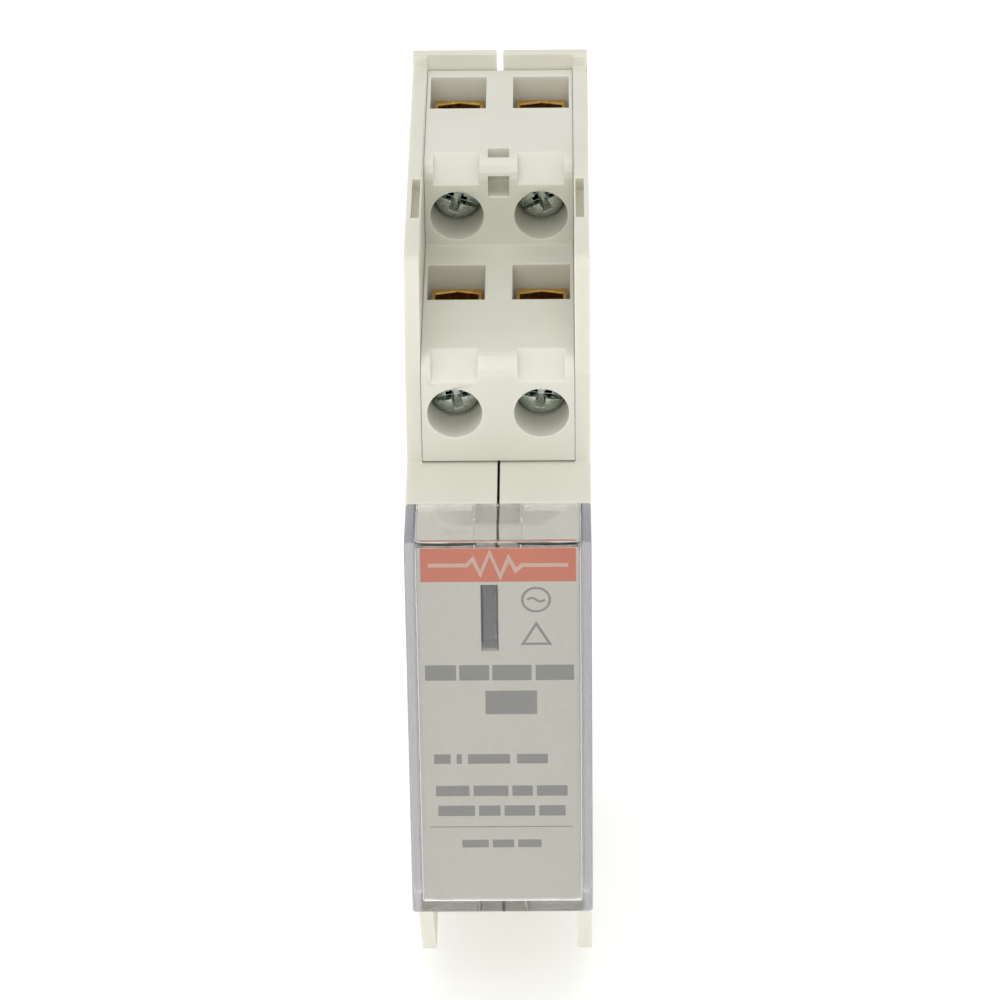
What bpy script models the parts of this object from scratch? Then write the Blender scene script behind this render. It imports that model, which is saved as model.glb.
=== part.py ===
"""A one-module surge protective device for a 35 mm rail, as an assembly of separate pieces.

Frame: X to the right, Y from the front to the rear, Z up. The origin lies on the rail's front face,
on the module's middle plane and the rail's centre line. Every size is in metres.
"""

import math

import bmesh
import bpy
from mathutils import Matrix, Vector

MM = 0.001

# Clearances
JOINT_GAP = 0.2 * MM
LOOSE_GAP = 0.3 * MM
BLOCK_GAP = 0.03 * MM
SEAM_GAP = 0.24 * MM
OVERCUT = 1.0 * MM

# Housing
WIDTH = 18.0 * MM
FRONT_TO_SEAT = 56.3 * MM
REAR_DEPTH = 5.6 * MM
SIDE_WALL = 1.5 * MM
SHELL_WALL = 1.3 * MM
WALL_RISE = 0.3 * MM
LIP_RISE = 1.4 * MM
LIP_THICKNESS = 1.1 * MM
LIP_SLIT = 0.7 * MM
LIP_STEP = 0.2 * MM
BODY_BOTTOM = 45.0 * MM
WALL_LEAN = 3.3 * MM
WALL_LEAN_START = 1.5 * MM
WALL_CORNER = 1.3 * MM
LEG_SLOPE_DROP = 9.5 * MM
LEG_SLOPE_RUN = 10.4 * MM
LEG_TIP = 1.4 * MM
BELLY_DROP = 6.5 * MM
BELLY_RUN = 26.0 * MM
LEDGE_DEPTH = 15.2 * MM
POCKET_LENGTH = 8.4 * MM
POCKET_SETBACK = 3.8 * MM

# Clear cover, label and indicator
COVER_HEIGHT = 43.1 * MM
COVER_DEPTH = 7.3 * MM
COVER_WALL = 1.05 * MM
COVER_EDGE = 0.35 * MM
COVER_BEVEL = 0.12 * MM
TONGUE_WIDTH = 4.2 * MM
TONGUE_LENGTH = 2.6 * MM
TONGUE_CATCH = 0.15 * MM
TONGUE_SLIT = 0.35 * MM
LABEL_THICKNESS = 0.2 * MM
SLOT_WIDTH = 1.67 * MM
SLOT_TO_SEAM = 0.05 * MM
SLOT_DROP = 5.25 * MM
SLOT_HEIGHT = 7.5 * MM
FLANGE = 1.0 * MM
FLAG_INSET = 0.35 * MM
FLAG_OVERLAP = 0.7 * MM
FLAG_THICKNESS = 0.6 * MM
FLAG_TRAVEL = 7.2 * MM
FLAG_TAIL = 2.3 * MM
FLAG_LEDGE_THICKNESS = 0.8 * MM
FLAG_LEDGE_REACH = 2.0 * MM
BACKING_THICKNESS = 0.6 * MM
BACKING_GAP = 0.5 * MM

# Terminal block and clamps
LOWER_TIER_RISE = 11.45 * MM
TIER_PITCH_Y = 24.05 * MM
TIER_PITCH_Z = 9.2 * MM
TIER_EDGE = 1.5 * MM
TIER_ROUND = 1.8 * MM
POLE_TO_SIDE = 4.77 * MM
SCREW_DROP = 5.9 * MM
DRIVER_BORE = 5.36 * MM
HEAD_RECESS = 3.85 * MM
WINDOW_SETBACK = 12.5 * MM
WINDOW_DEPTH = 7.4 * MM
WINDOW_WIDTH = 5.72 * MM
BLOCK_REAR_WALL = 1.45 * MM
CHANNEL_WIDTH = 4.6 * MM
CHANNEL_DEPTH = 1.95 * MM
KEYWAY_WIDTH = 2.1 * MM
KEYWAY_DEPTH = 3.5 * MM
KEYWAY_DROP = 3.75 * MM
HEAD_DIAMETER = 4.7 * MM
HEAD_THICKNESS = 1.7 * MM
SHANK_DIAMETER = 3.3 * MM
SHANK_CLEARANCE_BORE = 4.4 * MM
DRIVE_SLOT = 0.75 * MM
DRIVE_CROSS = 3.0 * MM
DRIVE_DEPTH = 0.95 * MM
DRIVE_CROSS_DEPTH = 1.15 * MM
CAGE_WIDTH = 5.1 * MM
CAGE_SIDE = 0.4 * MM
CAGE_FRONT = 1.1 * MM
CAGE_REAR = 1.05 * MM
CAGE_VEE = 0.55 * MM
CAGE_HEIGHT = 7.1 * MM
CAGE_REAR_CLEARANCE = 0.75 * MM
CAGE_TRAVEL = 3.6 * MM
WIRE_GAP = 4.15 * MM
BAR_THICKNESS = 0.8 * MM
BAR_WIDTH = 3.4 * MM
BAR_CROSS_DROP = 6.55 * MM
BAR_CROSS_HEIGHT = 2.5 * MM

# Rail recess and foot
RAIL_HEIGHT = 35.0 * MM
RAIL_CLEARANCE = 0.2 * MM
RAIL_SLOT = 1.4 * MM
RAIL_GRIP = 1.4 * MM
SEAT_RELIEF = 0.3 * MM
FOOT_WIDTH = 8.0 * MM
FOOT_WING = 1.0 * MM
FOOT_WING_THICKNESS = 1.2 * MM
FOOT_REAR_CLEARANCE = 0.6 * MM
FOOT_TAB = 3.5 * MM
FOOT_PULL_SLOT = 2.2 * MM
FOOT_TRAVEL = 3.5 * MM
FOOT_SPRING_DROP = 7.7 * MM
FOOT_SPRING_LENGTH = 12.4 * MM
FOOT_SPRING_DIAMETER = 2.6 * MM
FOOT_SPRING_TURNS = 9
FOOT_PEG_HEIGHT = 3.0 * MM

# Surge parts
VARISTOR_DIAMETER = 30.0 * MM
VARISTOR_THICKNESS = 4.8 * MM
VARISTOR_OFFSET = (20.0 * MM, -9.5 * MM)
VARISTOR_X = 0.6 * MM
PLATE_DIAMETER = 22.0 * MM
PLATE_THICKNESS = 0.6 * MM
GAS_TUBE_DIAMETER = 8.0 * MM
GAS_TUBE_LENGTH = 5.2 * MM
GAS_TUBE_GAP = 1.93 * MM
GAS_TUBE_BEARING = math.radians(49.84)
GAS_CAP_DIAMETER = 7.2 * MM
GAS_CAP_THICKNESS = 1.2 * MM
STRAP_WIDTH = 4.2 * MM
PIVOT_SETBACK = 7.0 * MM
PIVOT_DROP = 5.0 * MM
PIN_DIAMETER = 2.0 * MM
PIN_INSET = 0.3 * MM
HUB_DIAMETER = 5.0 * MM
HUB_LENGTH = 1.2 * MM
PIVOT_BOSS_LENGTH = 2.9 * MM
ARM_THICKNESS = 0.8 * MM
ARM_WIDTH = 2.4 * MM
ARM_TIP = (12.3 * MM, -4.0 * MM)
HORN_TIP = (-7.8 * MM, 3.9 * MM)
HORN_WIDTH = 1.6 * MM
SOLDER_DIAMETER = 2.4 * MM
SOLDER_THICKNESS = 0.5 * MM
SPRING_WIRE = 0.4 * MM
ARM_SPRING_TURNS = 2.75
SPRING_TAIL = 4.0 * MM
SPRING_LEG = 4.5 * MM
SPRING_LEG_DROP = 0.9 * MM
RIVET_TO_COVER = 4.5 * MM
RIVET_TO_LEDGE = 4.1 * MM
RIVET_TO_BAR = 11.1 * MM
RIVET_TO_RAIL = 6.0 * MM
RIVET_BELOW_TOP = 7.05 * MM
RIVET_BELOW_NOSE = 0.45 * MM
RIVET_BELOW_BLOCK = 5.55 * MM
RIVET_ABOVE_BOTTOM = 7.0 * MM
RIVET_DIAMETER = 2.4 * MM
RIVET_HEAD = 4.6 * MM
RIVET_HEAD_THICKNESS = 0.5 * MM
RIVET_RECESS = 0.9 * MM
BOSS_WALL = 0.8 * MM
RIB_THICKNESS = 1.2 * MM
CRADLE_OFFSET = 6.0 * MM

# Finishes: colour, roughness, metallic, alpha
SHELL_PLASTIC = ((0.74, 0.73, 0.65), 0.45)
BLOCK_PLASTIC = ((0.76, 0.75, 0.68), 0.45)
FOOT_PLASTIC = ((0.62, 0.61, 0.56), 0.5)
CLEAR_PLASTIC = ((0.86, 0.87, 0.90), 0.08, 0.0, 0.25)
LIGHT_GUIDE_PLASTIC = ((0.80, 0.84, 0.86), 0.1, 0.0, 0.4)
LABEL_CARD = ((0.72, 0.70, 0.62), 0.5)
FLAG_GREEN = ((0.05, 0.42, 0.12), 0.5)
BACKING_RED = ((0.55, 0.03, 0.03), 0.5)
VARISTOR_BLUE = ((0.05, 0.12, 0.35), 0.55)
CERAMIC = ((0.80, 0.78, 0.74), 0.4)
BRASS = ((0.55, 0.38, 0.12), 0.3, 1.0)
STEEL = ((0.55, 0.57, 0.55), 0.3, 1.0)
COPPER = ((0.72, 0.38, 0.22), 0.35, 1.0)
SOLDER = ((0.62, 0.63, 0.65), 0.35, 1.0)

# Places worked out from the sizes above
HALF_WIDTH = WIDTH / 2
SEAM = SEAM_GAP / 2
COVER_FRONT = -FRONT_TO_SEAT
COVER_REAR = COVER_FRONT + COVER_DEPTH
SHOULDER = COVER_REAR + JOINT_GAP
NOSE_TOP = COVER_HEIGHT / 2
NOSE_INSET = COVER_WALL + 0.75 * JOINT_GAP
NOSE_HALF_WIDTH = HALF_WIDTH - NOSE_INSET
LABEL_FRONT = COVER_FRONT + COVER_WALL + JOINT_GAP
NOSE_FRONT = LABEL_FRONT + LABEL_THICKNESS + 0.75 * JOINT_GAP
TIER_FRONT = COVER_FRONT + LEDGE_DEPTH
INNER_WALL = HALF_WIDTH - SIDE_WALL
POLE_PITCH = WIDTH - 2 * POLE_TO_SIDE
POLES = {"left": -POLE_PITCH / 2, "right": POLE_PITCH / 2}
LOWER_TIER_TOP = NOSE_TOP + LOWER_TIER_RISE
UPPER_TIER_TOP = LOWER_TIER_TOP + TIER_PITCH_Z
TIERS = {"lower": (TIER_FRONT, LOWER_TIER_TOP), "upper": (TIER_FRONT + TIER_PITCH_Y, UPPER_TIER_TOP)}
WALL_TOP = UPPER_TIER_TOP + WALL_RISE
LIP_TOP = WALL_TOP + LIP_RISE
BLOCK_HALF_WIDTH = INNER_WALL - BLOCK_GAP
BLOCK_BOTTOM = NOSE_TOP + JOINT_GAP
BLOCK_REAR = TIERS["upper"][0] + WINDOW_SETBACK + WINDOW_DEPTH + BLOCK_REAR_WALL
LIP_FRONT = REAR_DEPTH - LIP_THICKNESS
CAGE_REAR_FACE = WINDOW_SETBACK + WINDOW_DEPTH - CAGE_REAR_CLEARANCE
BAR_REAR_FACE = CAGE_REAR_FACE - CAGE_REAR - WIRE_GAP
BAR_FRONT_FACE = BAR_REAR_FACE - BAR_THICKNESS
SCREW_TIP = BAR_FRONT_FACE - LOOSE_GAP
CAGE_FRONT_FACE = SCREW_TIP - CAGE_FRONT
POCKET_FRONT = CAGE_FRONT_FACE - CAGE_TRAVEL - LOOSE_GAP
SHOULDER_DEPTH = HEAD_RECESS + HEAD_THICKNESS + LOOSE_GAP
BAR_CROSS_BOTTOM = NOSE_TOP - BAR_CROSS_DROP
RAIL_HALF = RAIL_HEIGHT / 2 + RAIL_CLEARANCE
GRIP_EDGE = RAIL_HALF - RAIL_GRIP
SEAT_EDGE = GRIP_EDGE - SEAT_RELIEF
FOOT_SPRING_TOP = GRIP_EDGE + FOOT_SPRING_DROP
FOOT_BOTTOM = -BODY_BOTTOM - FOOT_TAB
FOOT_FRONT = RAIL_SLOT
CHANNEL_FLOOR = FOOT_FRONT - LOOSE_GAP
WING_REAR = FOOT_FRONT + FOOT_WING_THICKNESS
SLOT_RIGHT = -SLOT_TO_SEAM
SLOT_LEFT = SLOT_RIGHT - SLOT_WIDTH
SLOT_TOP = NOSE_TOP - SLOT_DROP
SLOT_BOTTOM = SLOT_TOP - SLOT_HEIGHT
FLAG_LEDGE_Z = SLOT_BOTTOM - FLAG_TAIL
NOSE_WALL_REAR = NOSE_FRONT + SHELL_WALL
FLANGE_FRONT = NOSE_WALL_REAR + LOOSE_GAP
FLAG_FRONT = FLANGE_FRONT + FLAG_THICKNESS + LOOSE_GAP
FLAG_REAR = FLAG_FRONT + FLAG_THICKNESS
FLAG_RIGHT = SLOT_RIGHT - FLAG_INSET
FLAG_LEFT = SLOT_LEFT - FLAG_OVERLAP
BACKING_FRONT = FLAG_REAR + BACKING_GAP
PIVOT = (COVER_REAR + PIVOT_SETBACK, FLAG_LEDGE_Z - PIVOT_DROP)
VARISTOR_CENTRE = (PIVOT[0] + VARISTOR_OFFSET[0], PIVOT[1] + VARISTOR_OFFSET[1])
GAS_TUBE_REACH = (VARISTOR_DIAMETER + GAS_TUBE_DIAMETER) / 2 + GAS_TUBE_GAP
GAS_TUBE_CENTRE = (
    VARISTOR_CENTRE[0] + GAS_TUBE_REACH * math.cos(GAS_TUBE_BEARING),
    VARISTOR_CENTRE[1] + GAS_TUBE_REACH * math.sin(GAS_TUBE_BEARING),
)
UPPER_BAR_FRONT = TIERS["upper"][0] + BAR_FRONT_FACE
RIVET_PLACES = {
    "rivet_front_top": (COVER_REAR + RIVET_TO_COVER, NOSE_TOP - RIVET_BELOW_TOP),
    "rivet_front_bottom": (TIER_FRONT + RIVET_TO_LEDGE, -NOSE_TOP - RIVET_BELOW_NOSE),
    "rivet_rear_top": (UPPER_BAR_FRONT - RIVET_TO_BAR, NOSE_TOP - RIVET_BELOW_BLOCK),
    "rivet_rear_bottom": (-RIVET_TO_RAIL, -BODY_BOTTOM + RIVET_ABOVE_BOTTOM),
}
ARM_RIGHT = -SOLDER_THICKNESS - PLATE_THICKNESS / 2 - 2 * LOOSE_GAP
ARM_LEFT = ARM_RIGHT - ARM_THICKNESS
HUB_LEFT = ARM_RIGHT - HUB_LENGTH
SCREW_TURNS = {"lower_left": 0.35, "lower_right": 1.1, "upper_left": 2.0, "upper_right": 2.75}


# ---------------------------------------------------------------- shared shapes


def clear_scene():
    for obj in list(bpy.data.objects):
        bpy.data.objects.remove(obj, do_unlink=True)


def finish_mesh(name, bm):
    """A new object from the bmesh, with its faces turned outwards."""
    bmesh.ops.recalc_face_normals(bm, faces=bm.faces)
    mesh = bpy.data.meshes.new(name)
    bm.to_mesh(mesh)
    bm.free()
    obj = bpy.data.objects.new(name, mesh)
    bpy.context.scene.collection.objects.link(obj)
    return obj


def prism(name, outline, low, high, axis="X"):
    """The closed outline pushed along the axis. Its pairs are (Y, Z), (X, Z) or (X, Y)."""
    places = {
        "X": lambda a, b, depth: (depth, a, b),
        "Y": lambda a, b, depth: (a, depth, b),
        "Z": lambda a, b, depth: (a, b, depth),
    }
    place = places[axis]
    bm = bmesh.new()
    lower = [bm.verts.new(place(a, b, low)) for a, b in outline]
    upper = [bm.verts.new(place(a, b, high)) for a, b in outline]
    bm.faces.new(lower)
    bm.faces.new(list(reversed(upper)))
    count = len(outline)
    for index in range(count):
        after = (index + 1) % count
        bm.faces.new((lower[index], lower[after], upper[after], upper[index]))
    return finish_mesh(name, bm)


def block(name, low, high):
    """A box between two corners."""
    outline = [(low[1], low[2]), (high[1], low[2]), (high[1], high[2]), (low[1], high[2])]
    return prism(name, outline, low[0], high[0])


def circle(centre, radius, sides, turn=0.0):
    points = []
    for index in range(sides):
        angle = turn + 2 * math.pi * index / sides
        points.append((centre[0] + radius * math.cos(angle), centre[1] + radius * math.sin(angle)))
    return points


def rod(name, centre, radius, low, high, axis="X", sides=24):
    return prism(name, circle(centre, radius, sides, math.pi / sides), low, high, axis)


def round_corner(before, corner, after, radius, steps=4):
    """Points that round one corner of an outline."""
    corner = Vector(corner)
    towards_before = (Vector(before) - corner).normalized()
    towards_after = (Vector(after) - corner).normalized()
    half_angle = towards_before.angle(towards_after) / 2
    reach = radius / math.tan(half_angle)
    centre = corner + (towards_before + towards_after).normalized() * (radius / math.sin(half_angle))
    start = corner + towards_before * reach - centre
    end = corner + towards_after * reach - centre
    sweep = math.atan2(start.x * end.y - start.y * end.x, start.dot(end))
    points = []
    for index in range(steps + 1):
        points.append(tuple(centre + Matrix.Rotation(sweep * index / steps, 2) @ start))
    return points


def inset(outline, distance):
    """The outline moved inwards by a distance; the outline runs anticlockwise."""
    count = len(outline)
    moved = []
    for index in range(count):
        corner = Vector(outline[index])
        arriving = (corner - Vector(outline[index - 1])).normalized()
        leaving = (Vector(outline[(index + 1) % count]) - corner).normalized()
        left_of_arriving = Vector((-arriving.y, arriving.x))
        left_of_leaving = Vector((-leaving.y, leaving.x))
        bisector = left_of_arriving + left_of_leaving
        moved.append(tuple(corner + bisector * (distance / (1 + left_of_arriving.dot(left_of_leaving)))))
    return moved


def combine(target, tools, operation):
    """Boolean the tools into the target for good, and drop the tools."""
    for tool in tools:
        modifier = target.modifiers.new(tool.name, "BOOLEAN")
        modifier.operation = operation
        modifier.solver = "EXACT"
        modifier.object = tool
        graph = bpy.context.evaluated_depsgraph_get()
        shaped = bpy.data.meshes.new_from_object(target.evaluated_get(graph))
        target.modifiers.clear()
        target.data = shaped
        bpy.data.objects.remove(tool, do_unlink=True)
    return target


def unite(target, *tools):
    return combine(target, tools, "UNION")


def carve(target, *tools):
    return combine(target, tools, "DIFFERENCE")


def tube_along(name, path, radius, sides=6):
    """A round wire that follows a list of points, with flat ends."""
    points = [Vector(point) for point in path]
    bm = bmesh.new()
    rings = []
    side = None
    for index, point in enumerate(points):
        ahead = points[min(index + 1, len(points) - 1)] - points[max(index - 1, 0)]
        ahead.normalize()
        if side is None:
            side = ahead.orthogonal().normalized()
        side = (side - ahead * side.dot(ahead)).normalized()
        across = ahead.cross(side)
        ring = []
        for corner in range(sides):
            angle = 2 * math.pi * corner / sides
            spoke = side * math.cos(angle) + across * math.sin(angle)
            ring.append(bm.verts.new(point + spoke * radius))
        rings.append(ring)
    for ring, following in zip(rings, rings[1:]):
        for corner in range(sides):
            after = (corner + 1) % sides
            bm.faces.new((ring[corner], ring[after], following[after], following[corner]))
    bm.faces.new(rings[0])
    bm.faces.new(list(reversed(rings[-1])))
    return finish_mesh(name, bm)


def link_plate(name, start, end, width, low, high):
    """A flat strip with round ends between two (Y, Z) points, lying across X."""
    start, end = Vector(start), Vector(end)
    along = (end - start).normalized()
    heading = math.atan2(along.y, along.x)
    outline = []
    for centre, facing in ((end, heading), (start, heading + math.pi)):
        for index in range(9):
            angle = facing - math.pi / 2 + math.pi * index / 8
            outline.append((centre.x + width / 2 * math.cos(angle), centre.y + width / 2 * math.sin(angle)))
    return prism(name, outline, low, high)


def put_origin(obj, point):
    """Move the object's origin to a point, without moving its surface."""
    point = Vector(point)
    obj.data.transform(Matrix.Translation(-point))
    obj.location = point
    return obj


def paint(obj, colour, roughness, metallic=0.0, alpha=1.0):
    """Give the object its own material."""
    material = bpy.data.materials.new(obj.name + "_material")
    material.use_nodes = True
    shader = material.node_tree.nodes["Principled BSDF"]
    shader.inputs["Base Color"].default_value = (*colour, 1.0)
    shader.inputs["Roughness"].default_value = roughness
    shader.inputs["Metallic"].default_value = metallic
    shader.inputs["Alpha"].default_value = alpha
    obj.data.materials.clear()
    obj.data.materials.append(material)
    return obj


def smooth(obj, degrees=35):
    obj.data.shade_smooth()
    obj.data.set_sharp_from_angle(angle=math.radians(degrees))
    return obj


# ---------------------------------------------------------------- housing shells


def rail_recess():
    """The rear edge of the side view: the recess for the rail, its seat and its fixed hook."""
    return [
        (REAR_DEPTH, -RAIL_HALF),
        (-SEAT_RELIEF, -RAIL_HALF),
        (-SEAT_RELIEF, -SEAT_EDGE),
        (0.0, -SEAT_EDGE),
        (0.0, SEAT_EDGE),
        (-SEAT_RELIEF, SEAT_EDGE),
        (-SEAT_RELIEF, RAIL_HALF),
        (RAIL_SLOT, RAIL_HALF),
        (RAIL_SLOT, GRIP_EDGE),
        (REAR_DEPTH, GRIP_EDGE),
    ]


def wall_outline():
    """Side view of one full side wall, with its rail recess, leaning front edge and lower leg."""
    lean_foot = (TIER_FRONT, LOWER_TIER_TOP - WALL_LEAN_START)
    lean_top = (TIER_FRONT + WALL_LEAN, WALL_TOP)
    rear_top = (REAR_DEPTH, WALL_TOP)
    leg_knee = (TIER_FRONT, -NOSE_TOP - LEG_SLOPE_DROP)
    leg_heel = (TIER_FRONT + LEG_SLOPE_RUN, -BODY_BOTTOM + LEG_TIP)
    leg_end = (leg_heel[0] + LEG_TIP, -BODY_BOTTOM)
    rear_bottom = (REAR_DEPTH, -BODY_BOTTOM)
    corner = round_corner(rear_top, lean_top, lean_foot, WALL_CORNER)
    return [
        (SHOULDER, -NOSE_TOP),
        (TIER_FRONT, -NOSE_TOP),
        leg_knee,
        *round_corner(leg_knee, leg_heel, leg_end, LEG_TIP, 2),
        leg_end,
        rear_bottom,
        *rail_recess(),
        rear_top,
        *corner,
        lean_foot,
        (TIER_FRONT, NOSE_TOP),
        (SHOULDER, NOSE_TOP),
    ]


def body_outline(with_rear):
    """Side view of the closed middle of the housing, below the terminal block."""
    belly_front = (TIER_FRONT, -NOSE_TOP - BELLY_DROP)
    belly_rear = (TIER_FRONT + BELLY_RUN, -BODY_BOTTOM)
    front = [(SHOULDER, NOSE_TOP), (SHOULDER, -NOSE_TOP), (TIER_FRONT, -NOSE_TOP), belly_front, belly_rear]
    if not with_rear:
        return [*front, (0.0, -BODY_BOTTOM), (0.0, NOSE_TOP)]
    return [
        *front,
        (REAR_DEPTH, -BODY_BOTTOM),
        *rail_recess(),
        (REAR_DEPTH, NOSE_TOP),
    ]


def nose_box(name, margin, side, low_x, rear):
    """The front of the housing, under the clear cover, less a margin."""
    top = NOSE_TOP - NOSE_INSET - margin
    return block(name, (low_x, NOSE_FRONT + margin, -top), (side, rear, top))


def hollow_tools():
    """What empties the middle of a shell."""
    room = prism("room", inset(body_outline(False), SHELL_WALL), -SEAM, INNER_WALL)
    nose_side = NOSE_HALF_WIDTH - SHELL_WALL
    nose_room = nose_box("nose_room", SHELL_WALL, nose_side, -SEAM, SHOULDER + 2 * SHELL_WALL)
    return room, nose_room


def bosses():
    """Round posts on the inside of a shell, for the rivets and the pivot pin."""
    posts = []
    for name, place in RIVET_PLACES.items():
        radius = RIVET_DIAMETER / 2 + JOINT_GAP + BOSS_WALL
        posts.append(rod(name + "_boss", place, radius, SEAM, INNER_WALL + SIDE_WALL / 2))
    start = INNER_WALL - PIVOT_BOSS_LENGTH
    posts.append(rod("pivot_boss", PIVOT, HUB_DIAMETER / 2, start, INNER_WALL + SIDE_WALL / 2))
    return posts


def boss_holes():
    tools = []
    for name, place in RIVET_PLACES.items():
        tools.append(rod(name + "_hole", place, RIVET_DIAMETER / 2 + JOINT_GAP, -SEAM, WIDTH))
        recess_floor = HALF_WIDTH - RIVET_RECESS
        recess_radius = RIVET_HEAD / 2 + JOINT_GAP
        tools.append(rod(name + "_recess", place, recess_radius, recess_floor, WIDTH, sides=36))
    tools.append(rod("pivot_hole", PIVOT, PIN_DIAMETER / 2 + JOINT_GAP, -SEAM, INNER_WALL, sides=16))
    return tools


def varistor_cradle():
    """Two ribs that carry the varistor disc from below."""
    ribs = []
    for index, side in enumerate((-1, 1)):
        centre = VARISTOR_CENTRE[0] + side * CRADLE_OFFSET
        low = (SEAM, centre - RIB_THICKNESS / 2, -BODY_BOTTOM)
        high = (INNER_WALL + SIDE_WALL / 2, centre + RIB_THICKNESS / 2, VARISTOR_CENTRE[1])
        rib = block(f"cradle_{index}", low, high)
        within = prism("within", inset(body_outline(False), SHELL_WALL / 2), 0.0, HALF_WIDTH)
        ribs.append(combine(rib, [within], "INTERSECT"))
    return ribs


def foot_channel():
    """The T-shaped way that the rail foot slides in."""
    below = -BODY_BOTTOM - FOOT_TAB
    above = -RAIL_HALF + LOOSE_GAP
    wing = FOOT_WIDTH / 2 + FOOT_WING + LOOSE_GAP
    neck = FOOT_WIDTH / 2 + LOOSE_GAP
    wide = block("wide_way", (-SEAM, CHANNEL_FLOOR, below), (wing, WING_REAR + LOOSE_GAP, above))
    narrow = block("narrow_way", (-SEAM, WING_REAR, below), (neck, REAR_DEPTH + LOOSE_GAP, above))
    return wide, narrow


def foot_peg():
    """Half of the peg that the foot's spring pushes on."""
    top = -FOOT_SPRING_TOP - FOOT_SPRING_LENGTH - JOINT_GAP
    low = (SEAM, CHANNEL_FLOOR - SHELL_WALL / 4, top - FOOT_PEG_HEIGHT)
    high = (FOOT_SPRING_DIAMETER / 2, WING_REAR + FOOT_WING_THICKNESS, top)
    return block("foot_peg", low, high)


def bar_slots():
    """Ways for the two stamped bars through the floor under the terminal block."""
    slots = []
    for tier, (front, _) in TIERS.items():
        low_x = POLES["right"] - BAR_WIDTH / 2 - JOINT_GAP
        high_x = POLES["right"] + BAR_WIDTH / 2 + JOINT_GAP
        low_y = front + BAR_FRONT_FACE - JOINT_GAP
        high_y = front + BAR_REAR_FACE + JOINT_GAP
        low = (low_x, low_y, NOSE_TOP - 2 * SHELL_WALL)
        slots.append(block(tier + "_bar_slot", low, (high_x, high_y, BLOCK_BOTTOM)))
    return slots


def wall_pocket():
    """The shallow pocket in the top of a side wall, beside the upper step."""
    rim = SIDE_WALL / 3
    inner_rim = SIDE_WALL / 8
    rear = TIERS["upper"][0] - POCKET_SETBACK
    front = rear - POCKET_LENGTH
    low = (INNER_WALL + inner_rim, front, WALL_TOP - SIDE_WALL)
    return block("wall_pocket", low, (HALF_WIDTH - rim, rear, LIP_TOP))


def tongue_grooves():
    """Grooves in the nose that the catches on the cover's tongues run in."""
    side = TONGUE_WIDTH / 2 + JOINT_GAP
    bottom = NOSE_TOP - COVER_WALL - TONGUE_CATCH - JOINT_GAP
    front = NOSE_FRONT - SHELL_WALL
    upper = block("upper_groove", (-SEAM, front, bottom), (side, SHOULDER, NOSE_TOP))
    lower = block("lower_groove", (-SEAM, front, -NOSE_TOP), (side, SHOULDER, -bottom))
    return upper, lower


def half_shell(name):
    """The right-hand half of the housing."""
    shell = prism(name, wall_outline(), INNER_WALL, HALF_WIDTH)
    middle = prism("middle", body_outline(True), SEAM, INNER_WALL + SIDE_WALL / 2)
    nose = nose_box("nose", 0.0, NOSE_HALF_WIDTH, SEAM, SHOULDER + SHELL_WALL)
    low = (LIP_SLIT / 2, LIP_FRONT, NOSE_TOP - SHELL_WALL)
    lip = block("lip", low, (HALF_WIDTH, REAR_DEPTH, LIP_TOP))
    low = (INNER_WALL, LIP_FRONT - LIP_STEP, NOSE_TOP)
    lip_end = block("lip_end", low, (HALF_WIDTH, REAR_DEPTH, LIP_TOP - LIP_STEP))
    unite(shell, middle, nose, lip, lip_end)
    carve(shell, *hollow_tools())
    unite(shell, *bosses(), *varistor_cradle())
    bed = rod("bed", VARISTOR_CENTRE, VARISTOR_DIAMETER / 2 + LOOSE_GAP, -SEAM, INNER_WALL, sides=48)
    carve(shell, bed, *boss_holes(), *foot_channel(), *bar_slots(), wall_pocket(), *tongue_grooves())
    unite(shell, foot_peg())
    return shell


def indicator_ribs():
    """The rib that guides the flag and the post that holds the red plate, on the left wall."""
    wall = -NOSE_HALF_WIDTH + SHELL_WALL / 2
    low = (wall, FLAG_FRONT, FLAG_LEDGE_Z - FLAG_TRAVEL)
    guide = block("flag_guide", low, (FLAG_LEFT - LOOSE_GAP, FLAG_REAR, SLOT_TOP + FLANGE))
    post_right = FLAG_LEFT - FLANGE - LOOSE_GAP
    low = (wall, FLAG_REAR - FLAG_THICKNESS / 2, SLOT_BOTTOM + FLANGE)
    post = block("backing_post", low, (post_right, BACKING_FRONT + BACKING_THICKNESS, SLOT_TOP))
    return guide, post


def shells():
    right = half_shell("right_shell")
    left = right.copy()
    left.data = right.data.copy()
    left.name = "left_shell"
    bpy.context.scene.collection.objects.link(left)
    left.data.transform(Matrix.Scale(-1, 4, Vector((1, 0, 0))))
    left.data.flip_normals()
    unite(left, *indicator_ribs())
    low = (SLOT_LEFT, NOSE_FRONT - SHELL_WALL, SLOT_BOTTOM)
    slot = block("window_slot", low, (SEAM_GAP, NOSE_WALL_REAR + SHELL_WALL / 4, SLOT_TOP))
    carve(left, slot)
    for shell in (right, left):
        smooth(paint(shell, *SHELL_PLASTIC), 30)


def rivets():
    for name, place in RIVET_PLACES.items():
        outside = HALF_WIDTH - RIVET_RECESS + LOOSE_GAP + RIVET_HEAD_THICKNESS
        inside = outside - RIVET_HEAD_THICKNESS
        rivet = rod(name, place, RIVET_DIAMETER / 2, -inside - SPRING_WIRE / 2, inside + SPRING_WIRE / 2)
        for low, high in ((-outside, -inside), (inside, outside)):
            unite(rivet, rod("rivet_head", place, RIVET_HEAD / 2, low, high, sides=36))
        smooth(paint(rivet, *STEEL))


# ---------------------------------------------------------------- terminal block and clamps


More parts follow.
